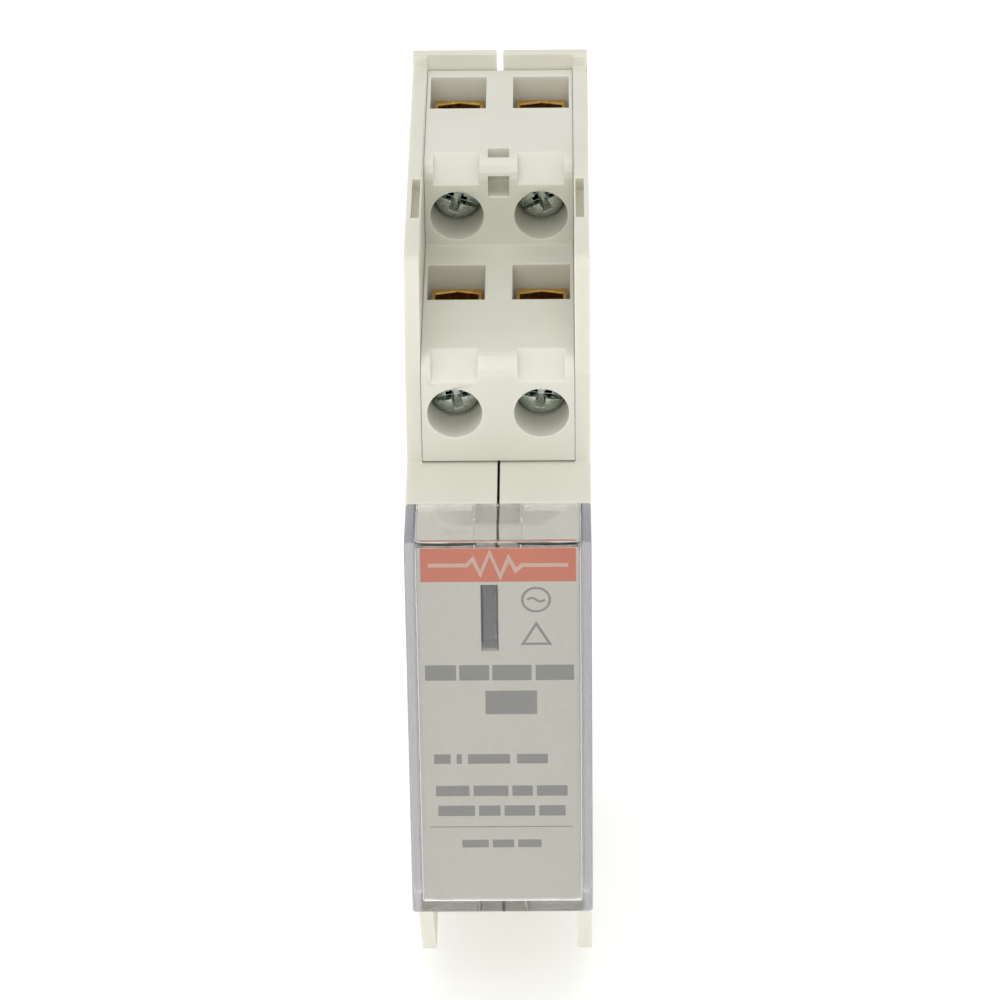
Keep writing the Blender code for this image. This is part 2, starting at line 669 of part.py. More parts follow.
def block_outline():
    """Side view of the two-step terminal block."""
    lower_front, lower_top = TIERS["lower"]
    upper_front, upper_top = TIERS["upper"]
    outline = [(lower_front, BLOCK_BOTTOM), (BLOCK_REAR, BLOCK_BOTTOM), (BLOCK_REAR, upper_top)]
    for front, top in ((upper_front, upper_top), (lower_front, lower_top)):
        corner = (front, top)
        outline += round_corner((BLOCK_REAR, top), corner, (front, BLOCK_BOTTOM), TIER_ROUND)
        if front == upper_front:
            outline.append((front, lower_top))
    return outline


def clamp_cavity(front, top, x):
    """What one clamp takes out of the block: screw bores, cage pocket, wire window and bar slot."""
    axis_z = top - SCREW_DROP
    window = front + WINDOW_SETBACK
    half = WINDOW_WIDTH / 2
    pocket_half = CAGE_HEIGHT / 2 + LOOSE_GAP
    rear = window + WINDOW_DEPTH
    bore = rod("bore", (x, axis_z), DRIVER_BORE / 2, front - OVERCUT, front + SHOULDER_DEPTH, "Y", 48)
    pocket_start = front + POCKET_FRONT
    low_end = front + SHOULDER_DEPTH - OVERCUT
    neck = rod("neck", (x, axis_z), SHANK_CLEARANCE_BORE / 2, low_end, pocket_start + OVERCUT, "Y", 32)
    low = (x - half, pocket_start, axis_z - pocket_half)
    pocket = block("pocket", low, (x + half, rear, axis_z + pocket_half))
    wire_window = block("window", (x - half, window, axis_z), (x + half, rear, top + OVERCUT))
    slot_half = BAR_WIDTH / 2 + JOINT_GAP
    low = (x - slot_half, front + BAR_FRONT_FACE - JOINT_GAP, BLOCK_BOTTOM - OVERCUT)
    bar_slot = block("bar_slot", low, (x + slot_half, front + BAR_REAR_FACE + JOINT_GAP, axis_z))
    return bore, neck, pocket, wire_window, bar_slot


def driver_channel(front, top, x):
    """The shallow lead-in across the rounded edge above a screw hole."""
    half = CHANNEL_WIDTH / 2
    reach = TIER_EDGE + CHANNEL_DEPTH
    outside = (front - OVERCUT, top + OVERCUT)
    outline = [(outside[0], top - reach), outside, (front + reach, outside[1])]
    return prism("channel", outline, x - half, x + half)


def keyway(front, top):
    """The marker slot in the middle of the upper step, with a bar left across its corner."""
    half = KEYWAY_WIDTH / 2
    upper_low = (-half, front + TIER_EDGE, top - KEYWAY_DROP)
    upper = block("keyway_top", upper_low, (half, front + KEYWAY_DEPTH, top + OVERCUT))
    lower_high = (half, front + KEYWAY_DEPTH - OVERCUT, top - TIER_EDGE)
    lower = block("keyway_front", (-half, front - OVERCUT, top - KEYWAY_DROP), lower_high)
    return upper, lower


def terminal_block():
    body = prism("terminal_block", block_outline(), -BLOCK_HALF_WIDTH, BLOCK_HALF_WIDTH)
    for front, top in TIERS.values():
        for x in POLES.values():
            carve(body, *clamp_cavity(front, top, x), driver_channel(front, top, x))
    carve(body, *keyway(*TIERS["upper"]))
    return smooth(paint(body, *BLOCK_PLASTIC), 30)


def clamp_screw(name, x, front, top, turn):
    """A slot-and-cross terminal screw on its axis along Y; its origin is the middle of its head's face."""
    start = front + HEAD_RECESS
    axis = (x, top - SCREW_DROP)
    tip = front + SCREW_TIP
    screw = rod(name, axis, SHANK_DIAMETER / 2, start + HEAD_THICKNESS / 2, tip, "Y", 24)
    unite(screw, rod("head", axis, HEAD_DIAMETER / 2, start, start + HEAD_THICKNESS, "Y", 48))
    long_half = HEAD_DIAMETER
    thin = DRIVE_SLOT / 2
    slot = block("slot", (-long_half, -OVERCUT, -thin), (long_half, DRIVE_DEPTH, thin))
    cross = block("cross", (-thin, -OVERCUT, -DRIVE_CROSS / 2), (thin, DRIVE_CROSS_DEPTH, DRIVE_CROSS / 2))
    for tool in (slot, cross):
        tool.data.transform(Matrix.Rotation(turn, 4, "Y"))
        tool.data.transform(Matrix.Translation((axis[0], start, axis[1])))
    carve(screw, slot, cross)
    return smooth(paint(put_origin(screw, (axis[0], start, axis[1])), *STEEL))


def clamp_cage(name, x, front, top):
    """A brass lift cage: a ring that the wire goes down through, with the screw in its front wall."""
    axis_z = top - SCREW_DROP
    near = front + CAGE_FRONT_FACE
    far = front + CAGE_REAR_FACE
    half = CAGE_WIDTH / 2
    low_z, high_z = axis_z - CAGE_HEIGHT / 2, axis_z + CAGE_HEIGHT / 2
    cage = block(name, (x - half, near, low_z), (x + half, far, high_z))
    inner = half - CAGE_SIDE
    inner_far = far - CAGE_REAR
    hollow = [
        (x - inner, near + CAGE_FRONT),
        (x + inner, near + CAGE_FRONT),
        (x + inner, inner_far),
        (x, inner_far + CAGE_VEE),
        (x - inner, inner_far),
    ]
    carve(cage, prism("hollow", hollow, low_z - OVERCUT, high_z + OVERCUT, "Z"))
    bore_end = near + CAGE_FRONT + OVERCUT
    carve(cage, rod("bore", (x, axis_z), SHANK_DIAMETER / 2 + LOOSE_GAP, near - OVERCUT, bore_end, "Y"))
    return smooth(paint(put_origin(cage, (x, near, axis_z)), *BRASS))


def stamped_bar(name, tier):
    """A U-shaped bar: one prong up through each cage of a step, joined by a cross piece below."""
    front, top = TIERS[tier]
    low_y, high_y = front + BAR_FRONT_FACE, front + BAR_REAR_FACE
    prong_top = top - SCREW_DROP + CAGE_HEIGHT / 2 - JOINT_GAP
    outer = POLE_PITCH / 2 + BAR_WIDTH / 2
    inner = POLE_PITCH / 2 - BAR_WIDTH / 2
    cross_top = BAR_CROSS_BOTTOM + BAR_CROSS_HEIGHT
    outline = [
        (-outer, BAR_CROSS_BOTTOM),
        (outer, BAR_CROSS_BOTTOM),
        (outer, prong_top),
        (inner, prong_top),
        (inner, cross_top),
        (-inner, cross_top),
        (-inner, prong_top),
        (-outer, prong_top),
    ]
    return paint(prism(name, outline, low_y, high_y, "Y"), *COPPER)


def clamps():
    for tier, (front, top) in TIERS.items():
        for side, x in POLES.items():
            place = f"{tier}_{side}"
            clamp_screw("screw_" + place, x, front, top, SCREW_TURNS[place])
            clamp_cage("cage_" + place, x, front, top)
    stamped_bar("line_bar", "lower")
    stamped_bar("neutral_bar", "upper")


# ---------------------------------------------------------------- cover, label and indicator


def rounded_box_outline(half_x, half_z, radius):
    corners = [(-half_x, -half_z), (half_x, -half_z), (half_x, half_z), (-half_x, half_z)]
    outline = []
    for index, corner in enumerate(corners):
        outline += round_corner(corners[index - 1], corner, corners[(index + 1) % 4], radius, 3)
    return outline


def front_cover():
    """The clear cap: a box open at the rear, with a tongue cut out of its top and bottom walls."""
    outline = rounded_box_outline(HALF_WIDTH, NOSE_TOP, COVER_EDGE)
    cover = prism("front_cover", outline, COVER_FRONT, COVER_REAR, "Y")
    side = HALF_WIDTH - COVER_WALL
    top = NOSE_TOP - COVER_WALL
    hollow = block("hollow", (-side, COVER_FRONT + COVER_WALL, -top), (side, COVER_REAR + OVERCUT, top))
    carve(cover, hollow)
    half = TONGUE_WIDTH / 2
    start = COVER_REAR - TONGUE_LENGTH
    catch = top - TONGUE_CATCH
    middle = NOSE_TOP - COVER_WALL / 2
    outside = NOSE_TOP + OVERCUT
    unite(cover, block("top_catch", (-half, start, catch), (half, COVER_REAR, middle)))
    unite(cover, block("bottom_catch", (-half, start, -middle), (half, COVER_REAR, -catch)))
    for x in (-half - TONGUE_SLIT, half):
        slit = block("slit", (x, start, -outside), (x + TONGUE_SLIT, COVER_REAR + OVERCUT, outside))
        carve(cover, slit)
    bevel = cover.modifiers.new("edge", "BEVEL")
    bevel.width = COVER_BEVEL
    bevel.segments = 1
    bevel.limit_method = "ANGLE"
    bevel.angle_limit = math.radians(60)
    put_origin(cover, (0.0, COVER_REAR, 0.0))
    return paint(cover, *CLEAR_PLASTIC)


def front_label():
    """The printed card between the nose and the cover, with a slot for the indicator."""
    side = NOSE_HALF_WIDTH - JOINT_GAP / 2
    top = NOSE_TOP - NOSE_INSET - JOINT_GAP / 2
    rear = LABEL_FRONT + LABEL_THICKNESS
    card = block("front_label", (-side, LABEL_FRONT, -top), (side, rear, top))
    low = (SLOT_LEFT, LABEL_FRONT - OVERCUT, SLOT_BOTTOM)
    carve(card, block("slot", low, (SLOT_RIGHT, rear + OVERCUT, SLOT_TOP)))
    return paint(card, *LABEL_CARD)


def indicator_window():
    """The clear light guide: a bar in the slot, with a flange behind the nose's wall."""
    low = (SLOT_LEFT + JOINT_GAP, LABEL_FRONT + JOINT_GAP, SLOT_BOTTOM + JOINT_GAP)
    high = (SLOT_RIGHT - JOINT_GAP / 2, FLANGE_FRONT + FLAG_THICKNESS / 2, SLOT_TOP - JOINT_GAP)
    window = block("indicator_window", low, high)
    low = (SLOT_LEFT - FLANGE, FLANGE_FRONT, SLOT_BOTTOM - FLANGE)
    high = (SLOT_RIGHT - JOINT_GAP, FLANGE_FRONT + FLAG_THICKNESS, SLOT_TOP + FLANGE)
    unite(window, block("flange", low, high))
    return paint(window, *LIGHT_GUIDE_PLASTIC)


def status_flag():
    """The green flag, with a ledge on its tail that rests on the disconnector's horn."""
    low = (FLAG_LEFT, FLAG_FRONT, SLOT_BOTTOM - JOINT_GAP)
    flag = block("status_flag", low, (FLAG_RIGHT, FLAG_REAR, SLOT_TOP + JOINT_GAP))
    tail_low = (FLAG_LEFT, FLAG_FRONT, FLAG_LEDGE_Z)
    tail = block("tail", tail_low, (FLAG_LEFT + ARM_THICKNESS, FLAG_REAR, SLOT_BOTTOM + OVERCUT))
    ledge_top = FLAG_LEDGE_Z + FLAG_LEDGE_THICKNESS
    ledge_low = (FLAG_LEFT, FLAG_FRONT, FLAG_LEDGE_Z)
    ledge = block("ledge", ledge_low, (ARM_RIGHT, FLAG_REAR + FLAG_LEDGE_REACH, ledge_top))
    unite(flag, tail, ledge)
    put_origin(flag, ((FLAG_LEFT + FLAG_RIGHT) / 2, FLAG_FRONT, FLAG_LEDGE_Z))
    return paint(flag, *FLAG_GREEN)


def indicator_backing():
    """The red plate that shows when the flag has dropped."""
    low = (FLAG_LEFT - FLANGE, BACKING_FRONT, SLOT_BOTTOM - JOINT_GAP)
    high = (FLAG_RIGHT, BACKING_FRONT + BACKING_THICKNESS, SLOT_TOP + FLANGE)
    return paint(block("indicator_backing", low, high), *BACKING_RED)


# ---------------------------------------------------------------- surge parts


def varistor():
    high_x = VARISTOR_X + VARISTOR_THICKNESS
    disc = rod("varistor_disc", VARISTOR_CENTRE, VARISTOR_DIAMETER / 2, VARISTOR_X, high_x, sides=48)
    smooth(paint(disc, *VARISTOR_BLUE))
    radius = PLATE_DIAMETER / 2
    high = VARISTOR_X - LOOSE_GAP
    low = high - PLATE_THICKNESS
    left_plate = rod("varistor_plate_left", VARISTOR_CENTRE, radius, low, high, sides=36)
    smooth(paint(left_plate, *BRASS))
    low = high_x + LOOSE_GAP
    high = low + PLATE_THICKNESS
    right_plate = rod("varistor_plate_right", VARISTOR_CENTRE, radius, low, high, sides=36)
    strip = link_plate("strip", VARISTOR_CENTRE, GAS_TUBE_CENTRE, STRAP_WIDTH, low, high)
    unite(right_plate, strip)
    smooth(paint(right_plate, *BRASS))
    return low


def gas_tube(plate_x):
    """The ceramic tube and its two end caps, between the right plate and the neutral strap."""
    cap_high = plate_x - LOOSE_GAP
    cap_low = cap_high - GAS_CAP_THICKNESS
    tube_high = cap_low - LOOSE_GAP
    tube_low = tube_high - GAS_TUBE_LENGTH
    tube = rod("gas_tube", GAS_TUBE_CENTRE, GAS_TUBE_DIAMETER / 2, tube_low, tube_high, sides=32)
    smooth(paint(tube, *CERAMIC))
    left_high = tube_low - LOOSE_GAP
    left_low = left_high - GAS_CAP_THICKNESS
    for name, low, high in (
        ("gas_tube_cap_right", cap_low, cap_high),
        ("gas_tube_cap_left", left_low, left_high),
    ):
        smooth(paint(rod(name, GAS_TUBE_CENTRE, GAS_CAP_DIAMETER / 2, low, high, sides=32), *STEEL))
    strap_high = left_low - LOOSE_GAP
    end = (UPPER_BAR_FRONT - STRAP_WIDTH / 2 - LOOSE_GAP, BAR_CROSS_BOTTOM + BAR_CROSS_HEIGHT / 2)
    strap_low = strap_high - PLATE_THICKNESS
    strap = link_plate("neutral_strap", GAS_TUBE_CENTRE, end, STRAP_WIDTH, strap_low, strap_high)
    smooth(paint(strap, *COPPER))


def line_strap():
    """The strip from the line bar down to the disconnector's pivot."""
    high = ARM_RIGHT + LOOSE_GAP + PLATE_THICKNESS
    bar_front = TIERS["lower"][0] + BAR_FRONT_FACE
    end = (bar_front - STRAP_WIDTH / 2 - LOOSE_GAP, BAR_CROSS_BOTTOM + BAR_CROSS_HEIGHT / 2)
    strap = link_plate("line_strap", PIVOT, end, STRAP_WIDTH, high - PLATE_THICKNESS, high)
    eye_radius = PIN_DIAMETER / 2 + LOOSE_GAP
    carve(strap, rod("eye", PIVOT, eye_radius, high - 2 * PLATE_THICKNESS, high + OVERCUT, sides=20))
    return smooth(paint(strap, *COPPER))


def disconnector():
    """The arm that the solder holds, its pin, its torsion spring and the solder itself."""
    arm = link_plate("disconnector_arm", PIVOT, around_pivot(ARM_TIP), ARM_WIDTH, ARM_LEFT, ARM_RIGHT)
    horn = link_plate("horn", PIVOT, around_pivot(HORN_TIP), HORN_WIDTH, ARM_LEFT, ARM_RIGHT)
    hub = rod("hub", PIVOT, HUB_DIAMETER / 2, HUB_LEFT, ARM_RIGHT)
    unite(arm, horn, hub)
    eye_radius = PIN_DIAMETER / 2 + LOOSE_GAP
    carve(arm, rod("eye", PIVOT, eye_radius, HUB_LEFT - OVERCUT, ARM_RIGHT + OVERCUT, sides=20))
    put_origin(arm, ((ARM_LEFT + ARM_RIGHT) / 2, *PIVOT))
    smooth(paint(arm, *COPPER))
    reach = INNER_WALL - PIN_INSET
    smooth(paint(rod("arm_pivot_pin", PIVOT, PIN_DIAMETER / 2, -reach, reach, sides=20), *STEEL))
    pad_high = ARM_RIGHT + LOOSE_GAP + SOLDER_THICKNESS
    pad_centre = around_pivot(ARM_TIP)
    pad = rod("solder_pad", pad_centre, SOLDER_DIAMETER / 2, ARM_RIGHT + LOOSE_GAP, pad_high, sides=20)
    smooth(paint(pad, *SOLDER))


def around_pivot(offset):
    return (PIVOT[0] + offset[0], PIVOT[1] + offset[1])


def arm_spring():
    """A torsion spring on the pin, with one leg under the arm and one down the wall."""
    mean = HUB_DIAMETER / 2 - SPRING_WIRE / 2
    boss_end = -INNER_WALL + PIVOT_BOSS_LENGTH
    start = boss_end + LOOSE_GAP + SPRING_WIRE / 2
    stop = HUB_LEFT - LOOSE_GAP - SPRING_WIRE / 2
    steps = 44
    path = [(start, PIVOT[0] + mean, PIVOT[1] - SPRING_TAIL)]
    for index in range(steps + 1):
        share = index / steps
        angle = 2 * math.pi * ARM_SPRING_TURNS * share
        x = start + (stop - start) * share
        path.append((x, PIVOT[0] + mean * math.cos(angle), PIVOT[1] + mean * math.sin(angle)))
    path.append((stop, PIVOT[0] + SPRING_LEG, PIVOT[1] - mean - SPRING_LEG_DROP))
    return smooth(paint(tube_along("arm_spring", path, SPRING_WIRE / 2), *STEEL), 60)


# ---------------------------------------------------------------- rail foot


def rail_foot():
    """The sliding foot that hooks the lower edge of the rail, with a pull tab below."""
    half = FOOT_WIDTH / 2
    rear = REAR_DEPTH - FOOT_REAR_CLEARANCE
    foot = block("rail_foot", (-half, FOOT_FRONT, FOOT_BOTTOM), (half, rear, -GRIP_EDGE))
    wing = half + FOOT_WING
    wing_top = -RAIL_HALF - FOOT_WING
    low = (-wing, FOOT_FRONT, -BODY_BOTTOM + FOOT_TRAVEL)
    unite(foot, block("wings", low, (wing, WING_REAR, wing_top)))
    nose = [
        (rear + OVERCUT, -GRIP_EDGE - 2 * RAIL_GRIP),
        (rear + OVERCUT, -GRIP_EDGE + OVERCUT),
        (FOOT_FRONT + RAIL_GRIP / 2, -GRIP_EDGE + OVERCUT),
        (FOOT_FRONT + RAIL_GRIP, -GRIP_EDGE),
    ]
    carve(foot, prism("lead_in", nose, -wing - OVERCUT, wing + OVERCUT))
    slot_half = FOOT_SPRING_DIAMETER / 2 + LOOSE_GAP
    peg_bottom = -FOOT_SPRING_TOP - FOOT_SPRING_LENGTH - JOINT_GAP - FOOT_PEG_HEIGHT
    low = (-slot_half, FOOT_FRONT - OVERCUT, peg_bottom - LOOSE_GAP)
    top = -FOOT_SPRING_TOP + JOINT_GAP
    carve(foot, block("spring_slot", low, (slot_half, rear + OVERCUT, top)))
    pull_low = FOOT_BOTTOM + FOOT_TAB / 4
    low = (-FOOT_PULL_SLOT, FOOT_FRONT - OVERCUT, pull_low)
    carve(foot, block("pull_slot", low, (FOOT_PULL_SLOT, rear + OVERCUT, pull_low + FOOT_PULL_SLOT)))
    put_origin(foot, (0.0, FOOT_FRONT, -GRIP_EDGE))
    return paint(foot, *FOOT_PLASTIC)


def rail_foot_spring():
    """The compression spring that pushes the foot up, between the shells' peg and the foot."""
    radius = FOOT_SPRING_DIAMETER / 2 - SPRING_WIRE / 2
    centre_y = (FOOT_FRONT + REAR_DEPTH - FOOT_REAR_CLEARANCE) / 2
    bottom = -FOOT_SPRING_TOP - FOOT_SPRING_LENGTH + SPRING_WIRE / 2
    steps = FOOT_SPRING_TURNS * 10
    path = []
    for index in range(steps + 1):
        share = index / steps
        angle = 2 * math.pi * FOOT_SPRING_TURNS * share
        z = bottom + (FOOT_SPRING_LENGTH - SPRING_WIRE) * share
        path.append((radius * math.cos(angle), centre_y + radius * math.sin(angle), z))
    return smooth(paint(tube_along("rail_foot_spring", path, SPRING_WIRE / 2), *STEEL), 60)


def build():
    clear_scene()
    shells()
    rivets()
    terminal_block()
    clamps()
    front_cover()
    front_label()
    indicator_window()
    status_flag()
    indicator_backing()
    gas_tube(varistor())
    line_strap()
    disconnector()
    arm_spring()
    rail_foot()
    rail_foot_spring()


build()
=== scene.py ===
"""The looks of a one-module surge protector for a 35 mm rail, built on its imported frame."""
import math

import bmesh
import bpy
from mathutils import Matrix, Quaternion, Vector


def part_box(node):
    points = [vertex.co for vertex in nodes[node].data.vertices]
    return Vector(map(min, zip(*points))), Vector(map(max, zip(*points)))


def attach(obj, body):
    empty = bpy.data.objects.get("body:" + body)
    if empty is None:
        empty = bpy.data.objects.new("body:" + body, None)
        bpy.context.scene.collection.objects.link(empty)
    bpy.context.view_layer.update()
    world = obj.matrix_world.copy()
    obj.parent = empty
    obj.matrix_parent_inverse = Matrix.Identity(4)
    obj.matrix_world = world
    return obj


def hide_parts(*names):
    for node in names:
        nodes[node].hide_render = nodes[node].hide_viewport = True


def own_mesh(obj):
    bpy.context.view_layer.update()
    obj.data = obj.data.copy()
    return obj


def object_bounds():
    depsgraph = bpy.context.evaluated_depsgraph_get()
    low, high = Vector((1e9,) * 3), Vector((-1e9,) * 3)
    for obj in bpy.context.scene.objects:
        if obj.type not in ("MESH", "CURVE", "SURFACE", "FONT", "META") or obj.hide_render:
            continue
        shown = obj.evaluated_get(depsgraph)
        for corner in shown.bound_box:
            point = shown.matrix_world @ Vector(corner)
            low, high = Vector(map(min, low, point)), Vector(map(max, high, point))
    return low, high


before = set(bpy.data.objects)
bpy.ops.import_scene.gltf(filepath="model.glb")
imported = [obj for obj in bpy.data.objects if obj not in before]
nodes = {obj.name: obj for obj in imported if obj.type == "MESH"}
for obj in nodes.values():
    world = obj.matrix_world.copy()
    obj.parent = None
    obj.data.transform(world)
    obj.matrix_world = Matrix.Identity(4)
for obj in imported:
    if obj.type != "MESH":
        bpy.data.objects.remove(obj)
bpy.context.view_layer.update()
MM = 0.001

# ---------------------------------------------------------------- housing shells
# The two moulded halves of the housing, in pale grey glass-filled nylon with a fine spark-eroded
# grain. They are moulded in one tool with soft edges, and riveted together on the middle plane.


def srgb(red, green, blue):
    """A colour given as 0-255 screen values, in the linear values that a shader takes."""
    linear = []
    for value in (red, green, blue):
        share = value / 255
        linear.append(share / 12.92 if share <= 0.04045 else ((share + 0.055) / 1.055) ** 2.4)
    return (*linear, 1.0)


def soften_edges(piece, width, segments=2, sharper_than=32):
    """Small rounds on a piece's hard edges, as a mould or a tumbling drum leaves them."""
    weld = piece.modifiers.new("weld", "WELD")
    weld.merge_threshold = 0.002 * MM
    rounds = piece.modifiers.new("rounds", "BEVEL")
    rounds.width = width
    rounds.segments = segments
    rounds.limit_method = "ANGLE"
    rounds.angle_limit = math.radians(sharper_than)
    rounds.use_clamp_overlap = False
    rounds.harden_normals = False
    normals = piece.modifiers.new("normals", "WEIGHTED_NORMAL")
    normals.keep_sharp = True
    normals.weight = 100


def dress(piece, material):
    """Gives a piece its finish."""
    piece.data.materials.clear()
    piece.data.materials.append(material)
    return piece


def noise(tree, place, size, detail=2.0, roughness=0.5):
    """Soft three-dimensional noise whose features are about that size."""
    node = tree.nodes.new("ShaderNodeTexNoise")
    node.inputs["Scale"].default_value = 1 / size
    node.inputs["Detail"].default_value = detail
    node.inputs["Roughness"].default_value = roughness
    tree.links.new(place, node.inputs["Vector"])
    return node.outputs["Fac"]


def spread(tree, value, low, high, start=0.3, end=0.7):
    """Maps a 0-1 value between start and end onto low to high."""
    node = tree.nodes.new("ShaderNodeMapRange")
    node.inputs["From Min"].default_value = start
    node.inputs["From Max"].default_value = end
    node.inputs["To Min"].default_value = low
    node.inputs["To Max"].default_value = high
    tree.links.new(value, node.inputs["Value"])
    return node.outputs["Result"]


def blend_colours(tree, factor, first, second):
    node = tree.nodes.new("ShaderNodeMix")
    node.data_type = "RGBA"
    node.inputs["A"].default_value = first
    node.inputs["B"].default_value = second
    tree.links.new(factor, node.inputs["Factor"])
    return node.outputs["Result"]


def raise_surface(tree, height, depth, below=None):
    """A bump of that depth; a second bump can lie under it."""
    node = tree.nodes.new("ShaderNodeBump")
    node.inputs["Distance"].default_value = depth
    tree.links.new(height, node.inputs["Height"])
    if below is not None:
        tree.links.new(below, node.inputs["Normal"])
    return node.outputs["Normal"]


def edge_share(tree, radius):
    """1 along a piece's hard edges and 0 on its flats."""
    bevel = tree.nodes.new("ShaderNodeBevel")
    bevel.samples = 6
    bevel.inputs["Radius"].default_value = radius
    flat = tree.nodes.new("ShaderNodeNewGeometry")
    product = tree.nodes.new("ShaderNodeVectorMath")
    product.operation = "DOT_PRODUCT"
    tree.links.new(bevel.outputs["Normal"], product.inputs[0])
    tree.links.new(flat.outputs["Normal"], product.inputs[1])
    return spread(tree, product.outputs["Value"], 1.0, 0.0, 0.80, 0.995)


def begin_finish(name):
    """A new material: its tree, its shader and the piece's own coordinates in metres."""
    material = bpy.data.materials.new(name)
    material.use_nodes = True
    tree = material.node_tree
    place = tree.nodes.new("ShaderNodeTexCoord").outputs["Object"]
    return material, tree, tree.nodes["Principled BSDF"], place


def mottle(tree, shader, factor, first, second):
    """A base colour that drifts between two tones."""
    tree.links.new(blend_colours(tree, factor, first, second), shader.inputs["Base Color"])


def wear(tree, shader, value, low, high):
    """A roughness that drifts between two values."""
    tree.links.new(spread(tree, value, low, high), shader.inputs["Roughness"])


def relief(tree, shader, height, depth, below=None):
    """A bump of that depth on the surface."""
    tree.links.new(raise_surface(tree, height, depth, below), shader.inputs["Normal"])


def moulded_plastic(name, colour, deeper, edge_highlight_colour, roughness=0.42):
    """Spark-grained moulded plastic with a cloudy colour and a painted highlight that makes its
    edges a little lighter.
    """
    material, tree, shader, place = begin_finish(name)
    cloud = noise(tree, place, 9 * MM, 3.0)
    tone = blend_colours(tree, spread(tree, cloud, 0.0, 1.0), colour, deeper)
    # Painted highlight: the hard edges are mixed towards the lighter edge colour.
    painted_edge_highlight = tree.nodes.new("ShaderNodeMix")
    painted_edge_highlight.data_type = "RGBA"
    painted_edge_highlight.inputs["B"].default_value = edge_highlight_colour
    tree.links.new(tone, painted_edge_highlight.inputs["A"])
    tree.links.new(edge_share(tree, 0.3 * MM), painted_edge_highlight.inputs["Factor"])
    tree.links.new(painted_edge_highlight.outputs["Result"], shader.inputs["Base Color"])
    handled = noise(tree, place, 3.5 * MM, 4.0, 0.65)
    wear(tree, shader, handled, roughness - 0.06, roughness + 0.08)
    wave = raise_surface(tree, noise(tree, place, 4 * MM, 1.0), 0.03 * MM)
    relief(tree, shader, noise(tree, place, 0.16 * MM, 3.0, 0.6), 0.006 * MM, wave)
    shader.inputs["IOR"].default_value = 1.5
    shader.inputs["Subsurface Weight"].default_value = 0.3
    shader.inputs["Subsurface Radius"].default_value = (1.0, 0.9, 0.7)
    shader.inputs["Subsurface Scale"].default_value = 1.2 * MM
    return material


# The last colour is the painted highlight along the edges.
shell_finish = moulded_plastic(
    "shell_plastic", srgb(224, 223, 210), srgb(219, 218, 204), srgb(232, 231, 219))
for name in ("left_shell", "right_shell"):
    soften_edges(dress(nodes[name], shell_finish), 0.12 * MM)

# ---------------------------------------------------------------- rivets
# Four semi-tubular rivets in zinc-plated steel that clinch the halves together. Their heads sit
# in round recesses in the side walls.


def plated_metal(name, colour, tarnish, roughness, scratch=0.25 * MM, depth=0.004 * MM):
    """Bright metal with a mottled plating, fine scratches and duller patches."""
    material, tree, shader, place = begin_finish(name)
    shader.inputs["Metallic"].default_value = 1.0
    mottled = spread(tree, noise(tree, place, 0.9 * MM, 4.0, 0.6), 0.0, 1.0)
    mottle(tree, shader, mottled, colour, tarnish)
    stretch = tree.nodes.new("ShaderNodeMapping")
    stretch.inputs["Scale"].default_value = (1.0, 0.12, 1.0)
    stretch.inputs["Rotation"].default_value = (0.3, 0.5, 0.9)
    tree.links.new(place, stretch.inputs["Vector"])
    scratches = noise(tree, stretch.outputs["Vector"], scratch, 4.0, 0.7)
    wear(tree, shader, scratches, roughness - 0.08, roughness + 0.12)
    relief(tree, shader, scratches, depth)
    return material


rivet_finish = plated_metal("rivet_steel", srgb(196, 198, 196), srgb(168, 170, 166), 0.34)
for name in ("rivet_front_top", "rivet_front_bottom", "rivet_rear_top", "rivet_rear_bottom"):
    soften_edges(dress(nodes[name], rivet_finish), 0.12 * MM, 3)

# ---------------------------------------------------------------- terminal block
# One moulding with two steps, in the same nylon as the shells but a shade lighter and smoother.
# It drops between the side walls, and the screw holes and wire windows are cored in it.
# The last colour is the painted highlight along the edges.
block_finish = moulded_plastic(
    "block_plastic", srgb(225, 224, 212), srgb(220, 219, 206), srgb(232, 231, 221), 0.40)
soften_edges(dress(nodes["terminal_block"], block_finish), 0.09 * MM)

# ---------------------------------------------------------------- bars and straps
# Strip copper, blanked and formed in a press and left bare, so it is a little tarnished. Two bars
# join the clamps of each step, and two straps carry the current to the disconnector and the tube.
copper_finish = plated_metal(
    "copper_strip", srgb(201, 142, 110), srgb(176, 116, 86), 0.32, 0.4 * MM)
for name in ("line_bar", "neutral_bar", "line_strap", "neutral_strap"):
    soften_edges(dress(nodes[name], copper_finish), 0.08 * MM)

# ---------------------------------------------------------------- lift cages
# Four box clamps bent from brass strip, with a vee in the rear wall that centres the wire. The
# screw turns in the front wall and pulls the cage up against the bar.
brass_finish = plated_metal("cage_brass", srgb(222, 182, 104), srgb(190, 148, 76), 0.30, 0.3 * MM)
CLAMPS = ("lower_left", "lower_right", "upper_left", "upper_right")
for place_name in CLAMPS:
    soften_edges(dress(nodes["cage_" + place_name], brass_finish), 0.12 * MM)

